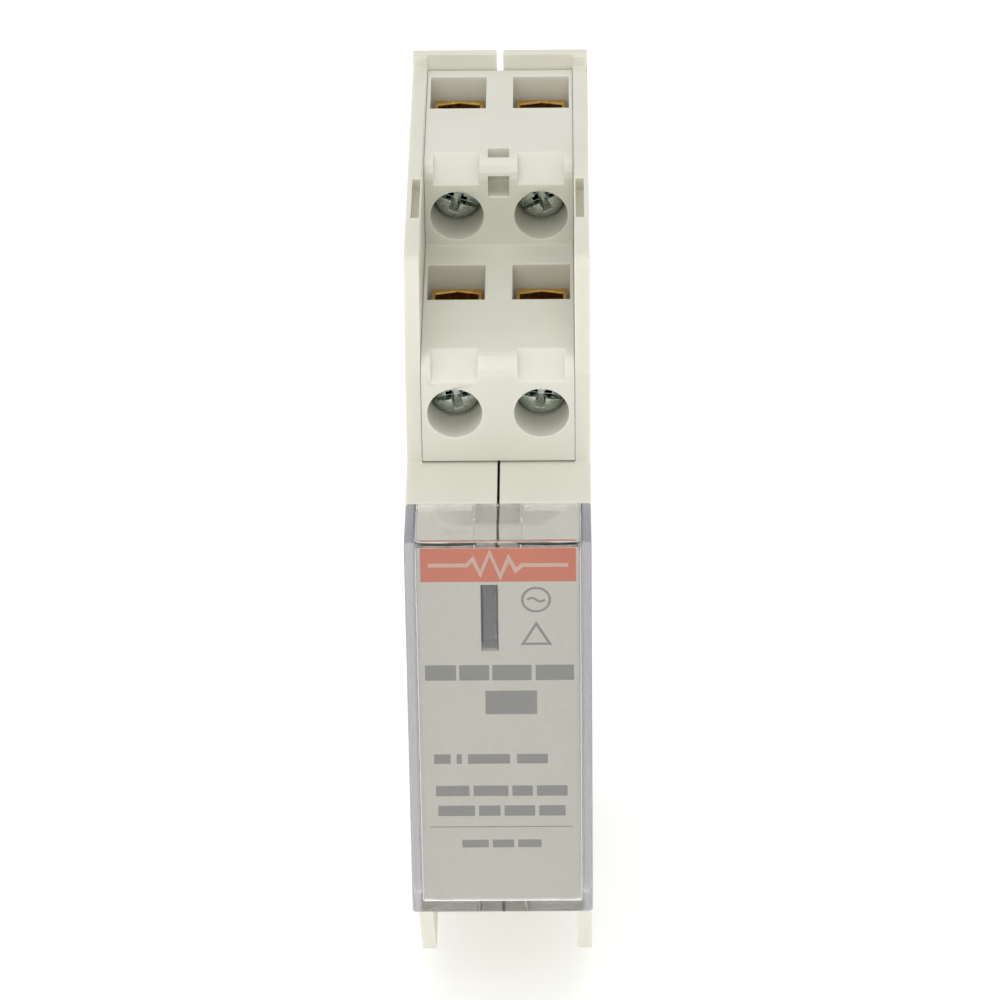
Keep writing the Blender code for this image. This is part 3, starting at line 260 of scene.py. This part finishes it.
# ---------------------------------------------------------------- terminal screws
# Four M3.5 steel screws, cold-headed and zinc plated, with a slot crossed by a tapered recess
# that takes either kind of driver. The thread is rolled, and the rim of the head is chamfered.
HEAD_THICKNESS = 1.7 * MM
HEAD_PROFILE = [  # radius and depth below the top of the head, in millimetres
    (0, 0.0), (0.6, 0.0), (1.3, 0.02), (1.8, 0.07), (2.1, 0.16), (2.28, 0.3), (2.35, 0.5),
    (2.35, 1.48), (2.3, 1.62), (2.2, 1.7), (0, 1.7)]
HEAD_SIDES = 64
SLOT_HALF_LENGTH = 3 * MM
SLOT_HALF_WIDTH, SLOT_FLOOR_HALF_WIDTH = 0.44 * MM, 0.36 * MM
SLOT_DEPTH = 0.85 * MM
CROSS_REACH, CROSS_FLOOR_REACH = 1.75 * MM, 0.7 * MM
CROSS_HALF_WIDTH, CROSS_FLOOR_HALF_WIDTH = 0.5 * MM, 0.3 * MM
CROSS_DEPTH = 1.3 * MM
HEAD_ROUND = 0.045 * MM
SCREW_LENGTH = 9.0 * MM
NECK_LENGTH, NECK_RADIUS = 0.5 * MM, 1.4 * MM
THREAD_RADIUS = 1.65 * MM
THREAD_PITCH = 0.6 * MM
THREAD_SHARE = 0.18  # how far the root lies below the crest, as a share of the radius
THREAD_RINGS, THREAD_SIDES = 92, 36
POINT_LENGTH, POINT_SHARE = 0.6 * MM, 0.8
SCREW_TURNS = {"lower_left": -12, "lower_right": 8, "upper_left": 20, "upper_right": -28}


def mesh_object(name, bm):
    """A linked object from the bmesh, with its faces turned outwards."""
    bmesh.ops.recalc_face_normals(bm, faces=bm.faces)
    mesh = bpy.data.meshes.new(name)
    bm.to_mesh(mesh)
    bm.free()
    piece = bpy.data.objects.new(name, mesh)
    bpy.context.scene.collection.objects.link(piece)
    return piece


def revolve(name, profile, sides, radius_at=None):
    """A closed body turned about Y from (radius, y) pairs that start and end on the axis."""
    bm = bmesh.new()
    rings = []
    for radius, y in profile:
        if radius == 0:
            rings.append([bm.verts.new((0, y, 0))])
            continue
        ring = []
        for step in range(sides):
            angle = math.tau * step / sides
            reach = radius_at(radius, y, angle) if radius_at else radius
            ring.append(bm.verts.new((reach * math.cos(angle), y, reach * math.sin(angle))))
        rings.append(ring)
    for ring, following in zip(rings, rings[1:]):
        for step in range(sides):
            after = (step + 1) % sides
            corners = [ring[step % len(ring)], ring[after % len(ring)]]
            corners += [following[after % len(following)], following[step % len(following)]]
            bm.faces.new(list(dict.fromkeys(corners)))
    return mesh_object(name, bm)


def bake_modifiers(piece):
    """Turns a piece's modifiers into its own mesh."""
    graph = bpy.context.evaluated_depsgraph_get()
    mesh = bpy.data.meshes.new_from_object(piece.evaluated_get(graph))
    piece.modifiers.clear()
    piece.data = mesh
    return piece


def combine(piece, tool, operation):
    """Cuts or joins a tool for good, and drops the tool."""
    step = piece.modifiers.new("step", "BOOLEAN")
    step.operation = operation
    step.solver = "EXACT"
    step.object = tool
    bake_modifiers(piece)
    bpy.data.objects.remove(tool, do_unlink=True)
    return piece


def loft(name, near_outline, far_outline):
    """A closed body between two outlines with as many corners each."""
    bm = bmesh.new()
    near = [bm.verts.new(corner) for corner in near_outline]
    far = [bm.verts.new(corner) for corner in far_outline]
    bm.faces.new(near)
    bm.faces.new(list(reversed(far)))
    for index in range(len(near)):
        after = (index + 1) % len(near)
        bm.faces.new((near[index], near[after], far[after], far[index]))
    return mesh_object(name, bm)


def frustum(name, front, rear, y_front, y_rear):
    """A loft between two outlines of (x, z) corners, one at each end along Y."""
    return loft(name, [(x, y_front, z) for x, z in front], [(x, y_rear, z) for x, z in rear])


def cross_outline(reach, half):
    """The twelve corners of a cross with arms of that reach and half width."""
    quarter = [(reach, -half), (reach, half), (half, half)]
    outline = []
    for turn in range(4):
        for x, z in quarter:
            for _ in range(turn):
                x, z = -z, x
            outline.append((x, z))
    return outline


def rectangle(half_x, half_z):
    """The corners of a rectangle centred on the axis."""
    return [(-half_x, -half_z), (half_x, -half_z), (half_x, half_z), (-half_x, half_z)]


def thread_radius(radius, y, angle):
    """The rolled thread: the radius rises and falls with the height up the helix."""
    turn = (y / THREAD_PITCH - angle / (math.tau)) % 1
    return radius * (1 - THREAD_SHARE * abs(2 * turn - 1))


def screw_head():
    """The head, with the slot and the tapered cross cut in its top."""
    head = revolve("screw_head", [(radius * MM, y * MM) for radius, y in HEAD_PROFILE], HEAD_SIDES)
    mouth = rectangle(SLOT_HALF_LENGTH, SLOT_HALF_WIDTH)
    floor = rectangle(SLOT_HALF_LENGTH, SLOT_FLOOR_HALF_WIDTH)
    combine(head, frustum("slot", mouth, floor, -MM, SLOT_DEPTH), "DIFFERENCE")
    mouth = cross_outline(CROSS_REACH, CROSS_HALF_WIDTH)
    floor = cross_outline(CROSS_FLOOR_REACH, CROSS_FLOOR_HALF_WIDTH)
    combine(head, frustum("recess", mouth, floor, -0.3 * MM, CROSS_DEPTH), "DIFFERENCE")
    rounds = head.modifiers.new("rounds", "BEVEL")
    rounds.width = HEAD_ROUND
    rounds.segments = 2
    rounds.limit_method = "ANGLE"
    rounds.angle_limit = math.radians(30)
    rounds.use_clamp_overlap = False
    return bake_modifiers(head)


def screw_shank():
    """The threaded shank, which starts inside the head and tapers at its point."""
    start = HEAD_THICKNESS - 0.2 * MM
    plain_end = HEAD_THICKNESS + NECK_LENGTH
    profile = [(0, start), (NECK_RADIUS, start)]
    for index in range(THREAD_RINGS + 1):
        y = plain_end + (SCREW_LENGTH - plain_end) * index / THREAD_RINGS
        taper = POINT_SHARE + (1 - POINT_SHARE) * (SCREW_LENGTH - y) / POINT_LENGTH
        profile.append((THREAD_RADIUS * min(1.0, taper), y))
    profile.append((0, SCREW_LENGTH))
    return revolve("screw_shank", profile, THREAD_SIDES, thread_radius)


screw_finish = plated_metal(
    "terminal_steel", srgb(214, 221, 214), srgb(178, 187, 180), 0.26, 0.16 * MM, 0.006 * MM)
master_head = screw_head()
master_shank = screw_shank()
for place_name in CLAMPS:
    cad_low, cad_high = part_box("screw_" + place_name)
    spot = Vector(((cad_low.x + cad_high.x) / 2, cad_low.y, (cad_low.z + cad_high.z) / 2))
    bm = bmesh.new()
    bm.from_mesh(master_head.data)
    bm.from_mesh(master_shank.data)
    turn = Matrix.Rotation(math.radians(SCREW_TURNS[place_name]), 3, "Y")
    bmesh.ops.rotate(bm, verts=bm.verts, matrix=turn)
    bmesh.ops.translate(bm, verts=bm.verts, vec=spot)
    screw = mesh_object("terminal_screw_" + place_name, bm)
    screw.data.shade_smooth()
    screw.data.set_sharp_from_angle(angle=math.radians(28))
    dress(screw, screw_finish)
    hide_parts("screw_" + place_name)
    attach(screw, "screw_" + place_name)
for master in (master_head, master_shank):
    bpy.data.objects.remove(master, do_unlink=True)

# ---------------------------------------------------------------- varistor
# A zinc-oxide disc dipped in blue epoxy, with a pressed brass electrode on each face. The right
# electrode runs on as a tab to the gas tube.
varistor_material, tree, shader, place = begin_finish("varistor_epoxy")
cloud = spread(tree, noise(tree, place, 2.5 * MM, 3.0), 0, 1)
mottle(tree, shader, cloud, srgb(34, 70, 132), srgb(24, 54, 110))
wear(tree, shader, noise(tree, place, 1.2 * MM, 3.0), 0.22, 0.42)
relief(tree, shader, noise(tree, place, 1.1 * MM, 2.0), 0.06 * MM)
soften_edges(dress(nodes["varistor_disc"], varistor_material), 0.5 * MM, 4)
for name in ("varistor_plate_left", "varistor_plate_right"):
    soften_edges(dress(nodes[name], brass_finish), 0.08 * MM)

# ---------------------------------------------------------------- gas discharge tube
# A glazed alumina tube with a nickel-plated cap soldered on each end, in series with the varistor.
ceramic, tree, shader, place = begin_finish("glazed_ceramic")
speckle = spread(tree, noise(tree, place, 0.4 * MM, 5.0, 0.7), 0, 1, 0.62, 0.70)
mottle(tree, shader, speckle, srgb(234, 230, 220), srgb(196, 190, 178))
wear(tree, shader, noise(tree, place, 0.8 * MM, 2.0), 0.14, 0.26)
relief(tree, shader, noise(tree, place, 0.5 * MM, 2.0), 0.012 * MM)
soften_edges(dress(nodes["gas_tube"], ceramic), 0.2 * MM, 3)
for name in ("gas_tube_cap_left", "gas_tube_cap_right"):
    soften_edges(dress(nodes[name], rivet_finish), 0.2 * MM, 3)

# ---------------------------------------------------------------- thermal disconnector
# A copper arm soldered to the varistor's electrode. When the solder melts, the torsion spring on
# its steel pin swings the arm away and its horn lets the flag fall.
spring_finish = plated_metal(
    "spring_steel", srgb(176, 178, 180), srgb(146, 148, 150), 0.30, 0.2 * MM)
solder_finish = plated_metal(
    "solder", srgb(188, 190, 193), srgb(160, 162, 166), 0.36, 0.5 * MM, 0.03 * MM)
soften_edges(dress(nodes["disconnector_arm"], copper_finish), 0.08 * MM)
soften_edges(dress(nodes["arm_pivot_pin"], rivet_finish), 0.15 * MM)
soften_edges(dress(nodes["solder_pad"], solder_finish), 0.18 * MM, 3)


def wire_along(name, path, radius, sides=12):
    """A round wire with flat ends that follows a list of points."""
    bm = bmesh.new()
    rings = []
    side = None
    for index, point in enumerate(path):
        ahead = (path[min(index + 1, len(path) - 1)] - path[max(index - 1, 0)]).normalized()
        side = ahead.orthogonal() if side is None else side - ahead * side.dot(ahead)
        side.normalize()
        across = ahead.cross(side)
        ring = []
        for corner in range(sides):
            angle = math.tau * corner / sides
            reach = (side * math.cos(angle) + across * math.sin(angle)) * radius
            ring.append(bm.verts.new(point + reach))
        rings.append(ring)
    for ring, following in zip(rings, rings[1:]):
        for corner in range(sides):
            after = (corner + 1) % sides
            bm.faces.new((ring[corner], ring[after], following[after], following[corner]))
    bm.faces.new(rings[0])
    bm.faces.new(list(reversed(rings[-1])))
    wire = mesh_object(name, bm)
    wire.data.shade_smooth()
    wire.data.set_sharp_from_angle(angle=math.radians(50))
    return wire


WIRE = 0.2 * MM  # the radius of the spring wire
TORSION_TURNS = 2.75
TORSION_STEPS = 110
TORSION_LEG = 0.9 * MM
low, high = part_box("arm_spring")
pivot_low, pivot_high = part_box("arm_pivot_pin")
pivot_y, pivot_z = (pivot_low.y + pivot_high.y) / 2, (pivot_low.z + pivot_high.z) / 2
coil_radius = pivot_y - low.y - WIRE
start_x, stop_x = low.x + WIRE, high.x - WIRE
path = [Vector((start_x, pivot_y + coil_radius, low.z + WIRE))]
for index in range(TORSION_STEPS + 1):
    angle = math.tau * TORSION_TURNS * index / TORSION_STEPS
    x = start_x + (stop_x - start_x) * index / TORSION_STEPS
    y, z = pivot_y + coil_radius * math.cos(angle), pivot_z + coil_radius * math.sin(angle)
    path.append(Vector((x, y, z)))
path.append(Vector((stop_x, high.y - WIRE, pivot_z - coil_radius - TORSION_LEG)))
torsion = wire_along("torsion_spring", path, WIRE)
dress(torsion, spring_finish)
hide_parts("arm_spring")
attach(torsion, "housing")

# ---------------------------------------------------------------- status flag and its backing
# A small moulded flag behind the window, dull olive green while the protector is sound, and the
# red plate behind it that shows once the flag has dropped.
# The last colour is the painted highlight along the edges.
flag_finish = moulded_plastic(
    "flag_green", srgb(84, 86, 70), srgb(68, 70, 58), srgb(112, 114, 96), 0.45)
soften_edges(dress(nodes["status_flag"], flag_finish), 0.06 * MM)
# The last colour is the painted highlight along the edges.
backing_finish = moulded_plastic(
    "backing_red", srgb(176, 30, 28), srgb(150, 22, 22), srgb(196, 52, 46), 0.45)
soften_edges(dress(nodes["indicator_backing"], backing_finish), 0.06 * MM)

# ---------------------------------------------------------------- label
# A printed card between the nose and the clear cover: an orange band with a plain pulse trace,
# the alternating-current mark, a plain triangle, and bars in place of every line of wording.
card_material, tree, shader, place = begin_finish("label_card")
fibre = spread(tree, noise(tree, place, 0.35 * MM, 4.0, 0.7), 0, 1)
mottle(tree, shader, fibre, srgb(218, 215, 201), srgb(210, 207, 192))
wear(tree, shader, noise(tree, place, 2 * MM, 3.0), 0.42, 0.58)
relief(tree, shader, noise(tree, place, 0.12 * MM, 3.0), 0.004 * MM)
dress(nodes["front_label"], card_material)
card_low, card_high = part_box("front_label")
INK = 0.015 * MM  # how far each printed layer stands off the card
# The marks on the card are in millimetres from its middle.
BAND = (-7.45, 7.45, 16.65, 20.5)
TRACE = [(-6.7, 18.5), (-3.0, 18.5), (-2.4, 19.2), (-1.7, 17.5), (-0.8, 19.9), (0.2, 17.2),
         (1.0, 19.3), (1.7, 17.9), (2.3, 18.5), (6.7, 18.5)]
TRACE_WIDTH = 0.42
MARK_X = 3.6
RING_Z, RING_RADIUS, RING_STEPS = 14.6, 1.32, 40
WAVE_HALF, WAVE_HEIGHT, WAVE_STEPS = 0.85, 0.2, 20
RING_STROKE = 0.24
TRIANGLE_HALF, TRIANGLE_FOOT, TRIANGLE_TOP = 1.3, 9.6, 11.9
TRIANGLE_STROKE = 0.26
RULE = (-7.0, 7.0, -11.7, -11.6)


def printing_ink(name, colour, deeper):
    """Screen-printed ink: slightly uneven cover with a fine mesh in it."""
    material, tree, shader, place = begin_finish(name)
    cover = spread(tree, noise(tree, place, 0.5 * MM, 5.0, 0.7), 0, 1)
    mottle(tree, shader, cover, colour, deeper)
    wear(tree, shader, noise(tree, place, 1.5 * MM, 2.0), 0.36, 0.5)
    relief(tree, shader, noise(tree, place, 0.1 * MM, 2.0), 0.003 * MM)
    return material


def stamp(bm, outline, layer=1):
    """A thin printed patch from (x, z) corners, on the front of the card."""
    near = card_low.y - INK * layer
    front = [bm.verts.new((x * MM, near, z * MM)) for x, z in outline]
    rear = [bm.verts.new((x * MM, card_low.y, z * MM)) for x, z in outline]
    bm.faces.new(front)
    for index in range(len(front)):
        after = (index + 1) % len(front)
        bm.faces.new((front[index], front[after], rear[after], rear[index]))


def bar(bm, low_x, high_x, low_z, high_z):
    """A printed rectangle."""
    stamp(bm, [(low_x, low_z), (high_x, low_z), (high_x, high_z), (low_x, high_z)])


def stroke(bm, points, width, closed=False, layer=1):
    """A printed line of even width through (x, z) points, as one patch for each stretch."""
    count = len(points)
    sides = []
    for index in range(count):
        here = Vector(points[index])
        before = Vector(points[index - 1]) if closed or index else here
        after = Vector(points[(index + 1) % count]) if closed or index < count - 1 else here
        into = (here - before).normalized() if here != before else (after - here).normalized()
        out = (after - here).normalized() if after != here else into
        across = Vector((-into.y, into.x)) + Vector((-out.y, out.x))
        across /= max(0.35, across.length_squared / 2)
        sides.append((here + across * width / 2, here - across * width / 2))
    pairs = list(zip(sides, sides[1:])) + ([(sides[-1], sides[0])] if closed else [])
    for (left, right), (next_left, next_right) in pairs:
        stamp(bm, [tuple(left), tuple(right), tuple(next_right), tuple(next_left)], layer)


def ink_piece(name, bm, material):
    """The printed patches of one ink as a piece that stays with the housing."""
    piece = mesh_object(name, bm)
    dress(piece, material)
    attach(piece, "housing")


bm = bmesh.new()
bar(bm, *BAND)
ink_piece("label_band", bm, printing_ink("orange_ink", srgb(222, 112, 66), srgb(215, 104, 58)))

bm = bmesh.new()
stroke(bm, TRACE, TRACE_WIDTH, layer=2)
ink_piece("label_band_trace", bm, printing_ink("pale_ink", srgb(226, 190, 170), srgb(220, 182, 162)))

bm = bmesh.new()
ring = []
for index in range(RING_STEPS):
    angle = math.tau * index / RING_STEPS
    ring.append((MARK_X + RING_RADIUS * math.cos(angle), RING_Z + RING_RADIUS * math.sin(angle)))
stroke(bm, ring, RING_STROKE, closed=True)
wave = []
for index in range(WAVE_STEPS + 1):
    share = index / WAVE_STEPS
    x = MARK_X - WAVE_HALF + 2 * WAVE_HALF * share
    wave.append((x, RING_Z + WAVE_HEIGHT * math.sin(math.tau * share)))
stroke(bm, wave, RING_STROKE)
triangle = [(MARK_X - TRIANGLE_HALF, TRIANGLE_FOOT), (MARK_X + TRIANGLE_HALF, TRIANGLE_FOOT)]
triangle.append((MARK_X, TRIANGLE_TOP))
stroke(bm, triangle, TRIANGLE_STROKE, closed=True)
LINES = [  # for each line: its foot, its top, and the left and right end of each bar
    (5.45, 7.2, [(-7.2, -4.2), (-3.9, -1.0), (-0.7, 3.1), (3.5, 7.2)]),
    (1.55, 4.25, [(-1.4, 3.6)]),
    (-4.2, -3.1, [(-6.5, -4.9), (-4.3, -3.8), (-3.2, 0.9), (1.6, 4.6)]),
    (-8.0, -6.8, [(-6.4, -3.1), (-2.7, 0.7), (1.1, 3.1), (3.5, 6.5)]),
    (-10.35, -9.15, [(-6.2, -2.6), (-2.2, -0.1), (0.3, 3.3), (3.7, 6.3)]),
    (-14.1, -13.2, [(-3.9, -1.3), (-0.9, 1.2), (1.6, 3.9)]),
]
for low_z, high_z, words in LINES:
    for low_x, high_x in words:
        bar(bm, low_x, high_x, low_z, high_z)
bar(bm, *RULE)
ink_piece("label_print", bm, printing_ink("grey_ink", srgb(146, 145, 138), srgb(134, 133, 126)))

# ---------------------------------------------------------------- indicator window
# A clear moulded light guide in the slot of the label. Shallow vees across its face break up what
# is seen through it.


def clear_plastic(name, tint, shade, roughness, wall=None):
    """Clear moulded plastic that lets lamps through, with a painted sheen further out than that half
    width: milky lavender grey that passes less light.
    """
    material, tree, shader, place = begin_finish(name)
    shader.inputs["Base Color"].default_value = tint
    shader.inputs["Transmission Weight"].default_value = 1.0
    if wall:
        sideways = tree.nodes.new("ShaderNodeSeparateXYZ")
        tree.links.new(place, sideways.inputs["Vector"])
        outward = tree.nodes.new("ShaderNodeMath")
        outward.operation = "ABSOLUTE"
        tree.links.new(sideways.outputs["X"], outward.inputs[0])
        # Painted sheen: beyond the half width the side walls turn milky lavender grey and pass less
        # light.
        painted_side_sheen = spread(tree, outward.outputs["Value"], 0.0, 1.0, wall, wall + 0.3 * MM)
        mottle(tree, shader, painted_side_sheen, tint, srgb(226, 225, 231))
        passed = spread(tree, painted_side_sheen, 1.0, 0.68, 0.0, 1.0)
        tree.links.new(passed, shader.inputs["Transmission Weight"])
    shader.inputs["IOR"].default_value = 1.55
    shader.inputs["Specular IOR Level"].default_value = 0.2
    wear(tree, shader, noise(tree, place, 3 * MM, 4.0, 0.6), 0.0, roughness)
    relief(tree, shader, noise(tree, place, 3 * MM, 1.0), 0.004 * MM)
    passing = tree.nodes.new("ShaderNodeBsdfTransparent")
    passing.inputs["Color"].default_value = shade
    rays = tree.nodes.new("ShaderNodeLightPath")
    either = tree.nodes.new("ShaderNodeMixShader")
    tree.links.new(rays.outputs["Is Shadow Ray"], either.inputs["Fac"])
    tree.links.new(shader.outputs["BSDF"], either.inputs[1])
    tree.links.new(passing.outputs["BSDF"], either.inputs[2])
    tree.links.new(either.outputs["Shader"], tree.nodes["Material Output"].inputs["Surface"])
    return material


window_low, window_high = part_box("indicator_window")
FLANGE = 1.2 * MM
VEE_DEPTH = 0.22 * MM
VEES = 5
VEE_RUN = 0.8  # the share of each vee that slopes
guide_left = window_low.x + FLANGE
guide_foot, guide_top = window_low.z + FLANGE, window_high.z - FLANGE
vee_height = (guide_top - guide_foot) / VEES
outline = [(window_high.y, guide_foot)]
for index in range(VEES):
    outline.append((window_low.y, guide_foot + vee_height * index))
    outline.append((window_low.y + VEE_DEPTH, guide_foot + vee_height * (index + VEE_RUN)))
outline += [(window_low.y, guide_top), (window_high.y, guide_top)]
near_side = [(guide_left, y, z) for y, z in outline]
far_side = [(window_high.x, y, z) for y, z in outline]
guide = loft("light_guide", near_side, far_side)
soften_edges(guide, 0.02 * MM, 1, 8)
guide_finish = clear_plastic(
    "light_guide_plastic", srgb(236, 238, 238), (0.85, 0.87, 0.86, 1), 0.06)
dress(guide, guide_finish)
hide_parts("indicator_window")
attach(guide, "housing")

# ---------------------------------------------------------------- clear cover
# A snap-on cap injection-moulded in clear polycarbonate. It is open at the rear, its edges are
# rounded, and a tongue slit out of its top and bottom walls catches in the nose.
cover_low, cover_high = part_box("front_cover")
COVER_WALL = 1.05 * MM
COVER_ROUND, ROOM_ROUND = 0.4 * MM, 0.25 * MM
TONGUE_HALF_WIDTH = 2.1 * MM
TONGUE_LENGTH = 2.6 * MM
TONGUE_SLIT = 0.35 * MM
CATCH = 0.15 * MM


def rounded_box(name, low, high, width, segments):
    """A box with rounded edges."""
    bm = bmesh.new()
    bmesh.ops.create_cube(bm, size=1)
    middle, span = (low + high) / 2, high - low
    for vert in bm.verts:
        vert.co = middle + Vector((vert.co.x * span.x, vert.co.y * span.y, vert.co.z * span.z))
    bmesh.ops.bevel(
        bm, geom=list(bm.edges), offset=width, segments=segments, profile=0.5, affect="EDGES")
    return mesh_object(name, bm)


wall = Vector((COVER_WALL, COVER_WALL, COVER_WALL))
cover = rounded_box("clear_cover", cover_low, cover_high + Vector((0, MM, 0)), COVER_ROUND, 4)
# The box is made too deep and cut off square behind, which leaves its rear rim sharp.
trim_low = Vector((-20 * MM, cover_high.y, -40 * MM))
trim_high = Vector((20 * MM, cover_high.y + 5 * MM, 40 * MM))
combine(cover, rounded_box("trim", trim_low, trim_high, 0.01 * MM, 1), "DIFFERENCE")
room_high = Vector((cover_high.x - COVER_WALL, cover_high.y + 3 * MM, cover_high.z - COVER_WALL))
combine(cover, rounded_box("room", cover_low + wall, room_high, ROOM_ROUND, 3), "DIFFERENCE")
tongue_front = cover_high.y - TONGUE_LENGTH
for side in (-1, 1):
    outer = side * (cover_high.z - COVER_WALL / 2)
    inner = side * (cover_high.z - COVER_WALL - CATCH)
    catch_low = Vector((-TONGUE_HALF_WIDTH, tongue_front, min(outer, inner)))
    catch_high = Vector((TONGUE_HALF_WIDTH, cover_high.y - 0.02 * MM, max(outer, inner)))
    combine(cover, rounded_box("catch", catch_low, catch_high, 0.05 * MM, 2), "UNION")
    slit_x = side * (TONGUE_HALF_WIDTH + TONGUE_SLIT / 2) - TONGUE_SLIT / 2
    slit_low = Vector((slit_x, tongue_front, 2 * cover_low.z))
    slit_high = Vector((slit_low.x + TONGUE_SLIT, 0.0, 2 * cover_high.z))
    combine(cover, rounded_box("slit", slit_low, slit_high, 0.1 * MM, 2), "DIFFERENCE")
cover.data.shade_smooth()
cover.data.set_sharp_from_angle(angle=math.radians(35))
# Its side walls carry the painted sheen.
cover_finish = clear_plastic(
    "cover_polycarbonate", srgb(243, 243, 244), (0.95, 0.95, 0.96, 1), 0.04, room_high.x)
dress(cover, cover_finish)
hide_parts("front_cover")
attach(cover, "cover")

# ---------------------------------------------------------------- rail foot and its spring
# A grey acetal foot that slides in a T-shaped way and hooks the lower edge of the rail, pushed up
# by a small coil of spring wire.
FOOT_COILS, COIL_STEPS = 9, 24
# The last colour is the painted highlight along the edges.
foot_finish = moulded_plastic(
    "foot_plastic", srgb(198, 196, 186), srgb(190, 188, 178), srgb(212, 210, 200), 0.38)
soften_edges(dress(nodes["rail_foot"], foot_finish), 0.12 * MM)
low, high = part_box("rail_foot_spring")
centre_x, centre_y = (low.x + high.x) / 2, (low.y + high.y) / 2
coil_radius = (high.x - low.x) / 2 - WIRE
path = []
for index in range(FOOT_COILS * COIL_STEPS + 1):
    share = index / (FOOT_COILS * COIL_STEPS)
    angle = math.tau * FOOT_COILS * share
    x, y = centre_x + coil_radius * math.cos(angle), centre_y + coil_radius * math.sin(angle)
    path.append(Vector((x, y, low.z + WIRE + (high.z - low.z - 2 * WIRE) * share)))
foot_spring = wire_along("foot_spring", path, WIRE, 8)
dress(foot_spring, spring_finish)
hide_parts("rail_foot_spring")
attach(foot_spring, "housing")
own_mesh(foot_spring)

# ---------------------------------------------------------------- studio
# A plain pale sweep under the part, a soft lamp over it, one above the camera and one each side.

AIM = Vector((0.0, -0.025, 0.0))
SWEEP_HALF = 1.5
TARGET = Vector((0.00025, -0.05344, 0.02458))
DISTANCE = 0.4973
AZIMUTH, ELEVATION, ROLL = math.radians(0.87), math.radians(30.5), math.radians(0.8)


def soft_lamp(name, place, width, height, watts):
    """A rectangular lamp that faces the part."""
    data = bpy.data.lights.new(name, "AREA")
    data.shape = "RECTANGLE"
    data.size, data.size_y = width, height
    data.energy = watts
    lamp = bpy.data.objects.new(name, data)
    lamp.location = place
    lamp.rotation_mode = "QUATERNION"
    lamp.rotation_quaternion = (AIM - Vector(place)).to_track_quat("-Z", "Y")
    bpy.context.scene.collection.objects.link(lamp)


low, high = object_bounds()
bm = bmesh.new()
floor_z = low.z - 0.1 * MM
bm.faces.new([bm.verts.new((x, y, floor_z)) for x, y in rectangle(SWEEP_HALF, SWEEP_HALF)])
floor = mesh_object("floor", bm)
floor_material, tree, shader, place = begin_finish("paper_sweep")
shader.inputs["Base Color"].default_value = (0.95, 0.95, 0.95, 1)
shader.inputs["Roughness"].default_value = 0.8
shader.inputs["Emission Color"].default_value = (1, 1, 1, 1)
shader.inputs["Emission Strength"].default_value = 0.25
dress(floor, floor_material)

world = bpy.data.worlds.new("studio")
world.use_nodes = True
world.node_tree.nodes["Background"].inputs["Color"].default_value = (1, 1, 1, 1)
world.node_tree.nodes["Background"].inputs["Strength"].default_value = 0.74
bpy.context.scene.world = world
soft_lamp("top_lamp", (-0.05, -0.25, 0.75), 0.6, 0.6, 1.25)
soft_lamp("front_lamp", (-0.1, -0.85, 0.42), 0.5, 0.4, 0.8)
soft_lamp("left_lamp", (-0.7, -0.35, 0.25), 0.4, 0.7, 0.6)
soft_lamp("right_lamp", (0.7, -0.35, 0.25), 0.4, 0.7, 0.4)

camera_data = bpy.data.cameras.new("camera")
camera_data.lens = 187.2
camera_data.sensor_width = 36.0
camera = bpy.data.objects.new("camera", camera_data)
bpy.context.scene.collection.objects.link(camera)
bpy.context.scene.camera = camera
back = Vector((
    math.sin(AZIMUTH) * math.cos(ELEVATION),
    -math.cos(AZIMUTH) * math.cos(ELEVATION),
    math.sin(ELEVATION)))
camera.location = TARGET + back * DISTANCE
camera.rotation_mode = "QUATERNION"
camera.rotation_quaternion = (-back).to_track_quat("-Z", "Y") @ Quaternion((0, 0, 1), -ROLL)
camera_data.clip_start, camera_data.clip_end = 0.01, 10

bpy.context.scene.view_settings.view_transform = "Standard"
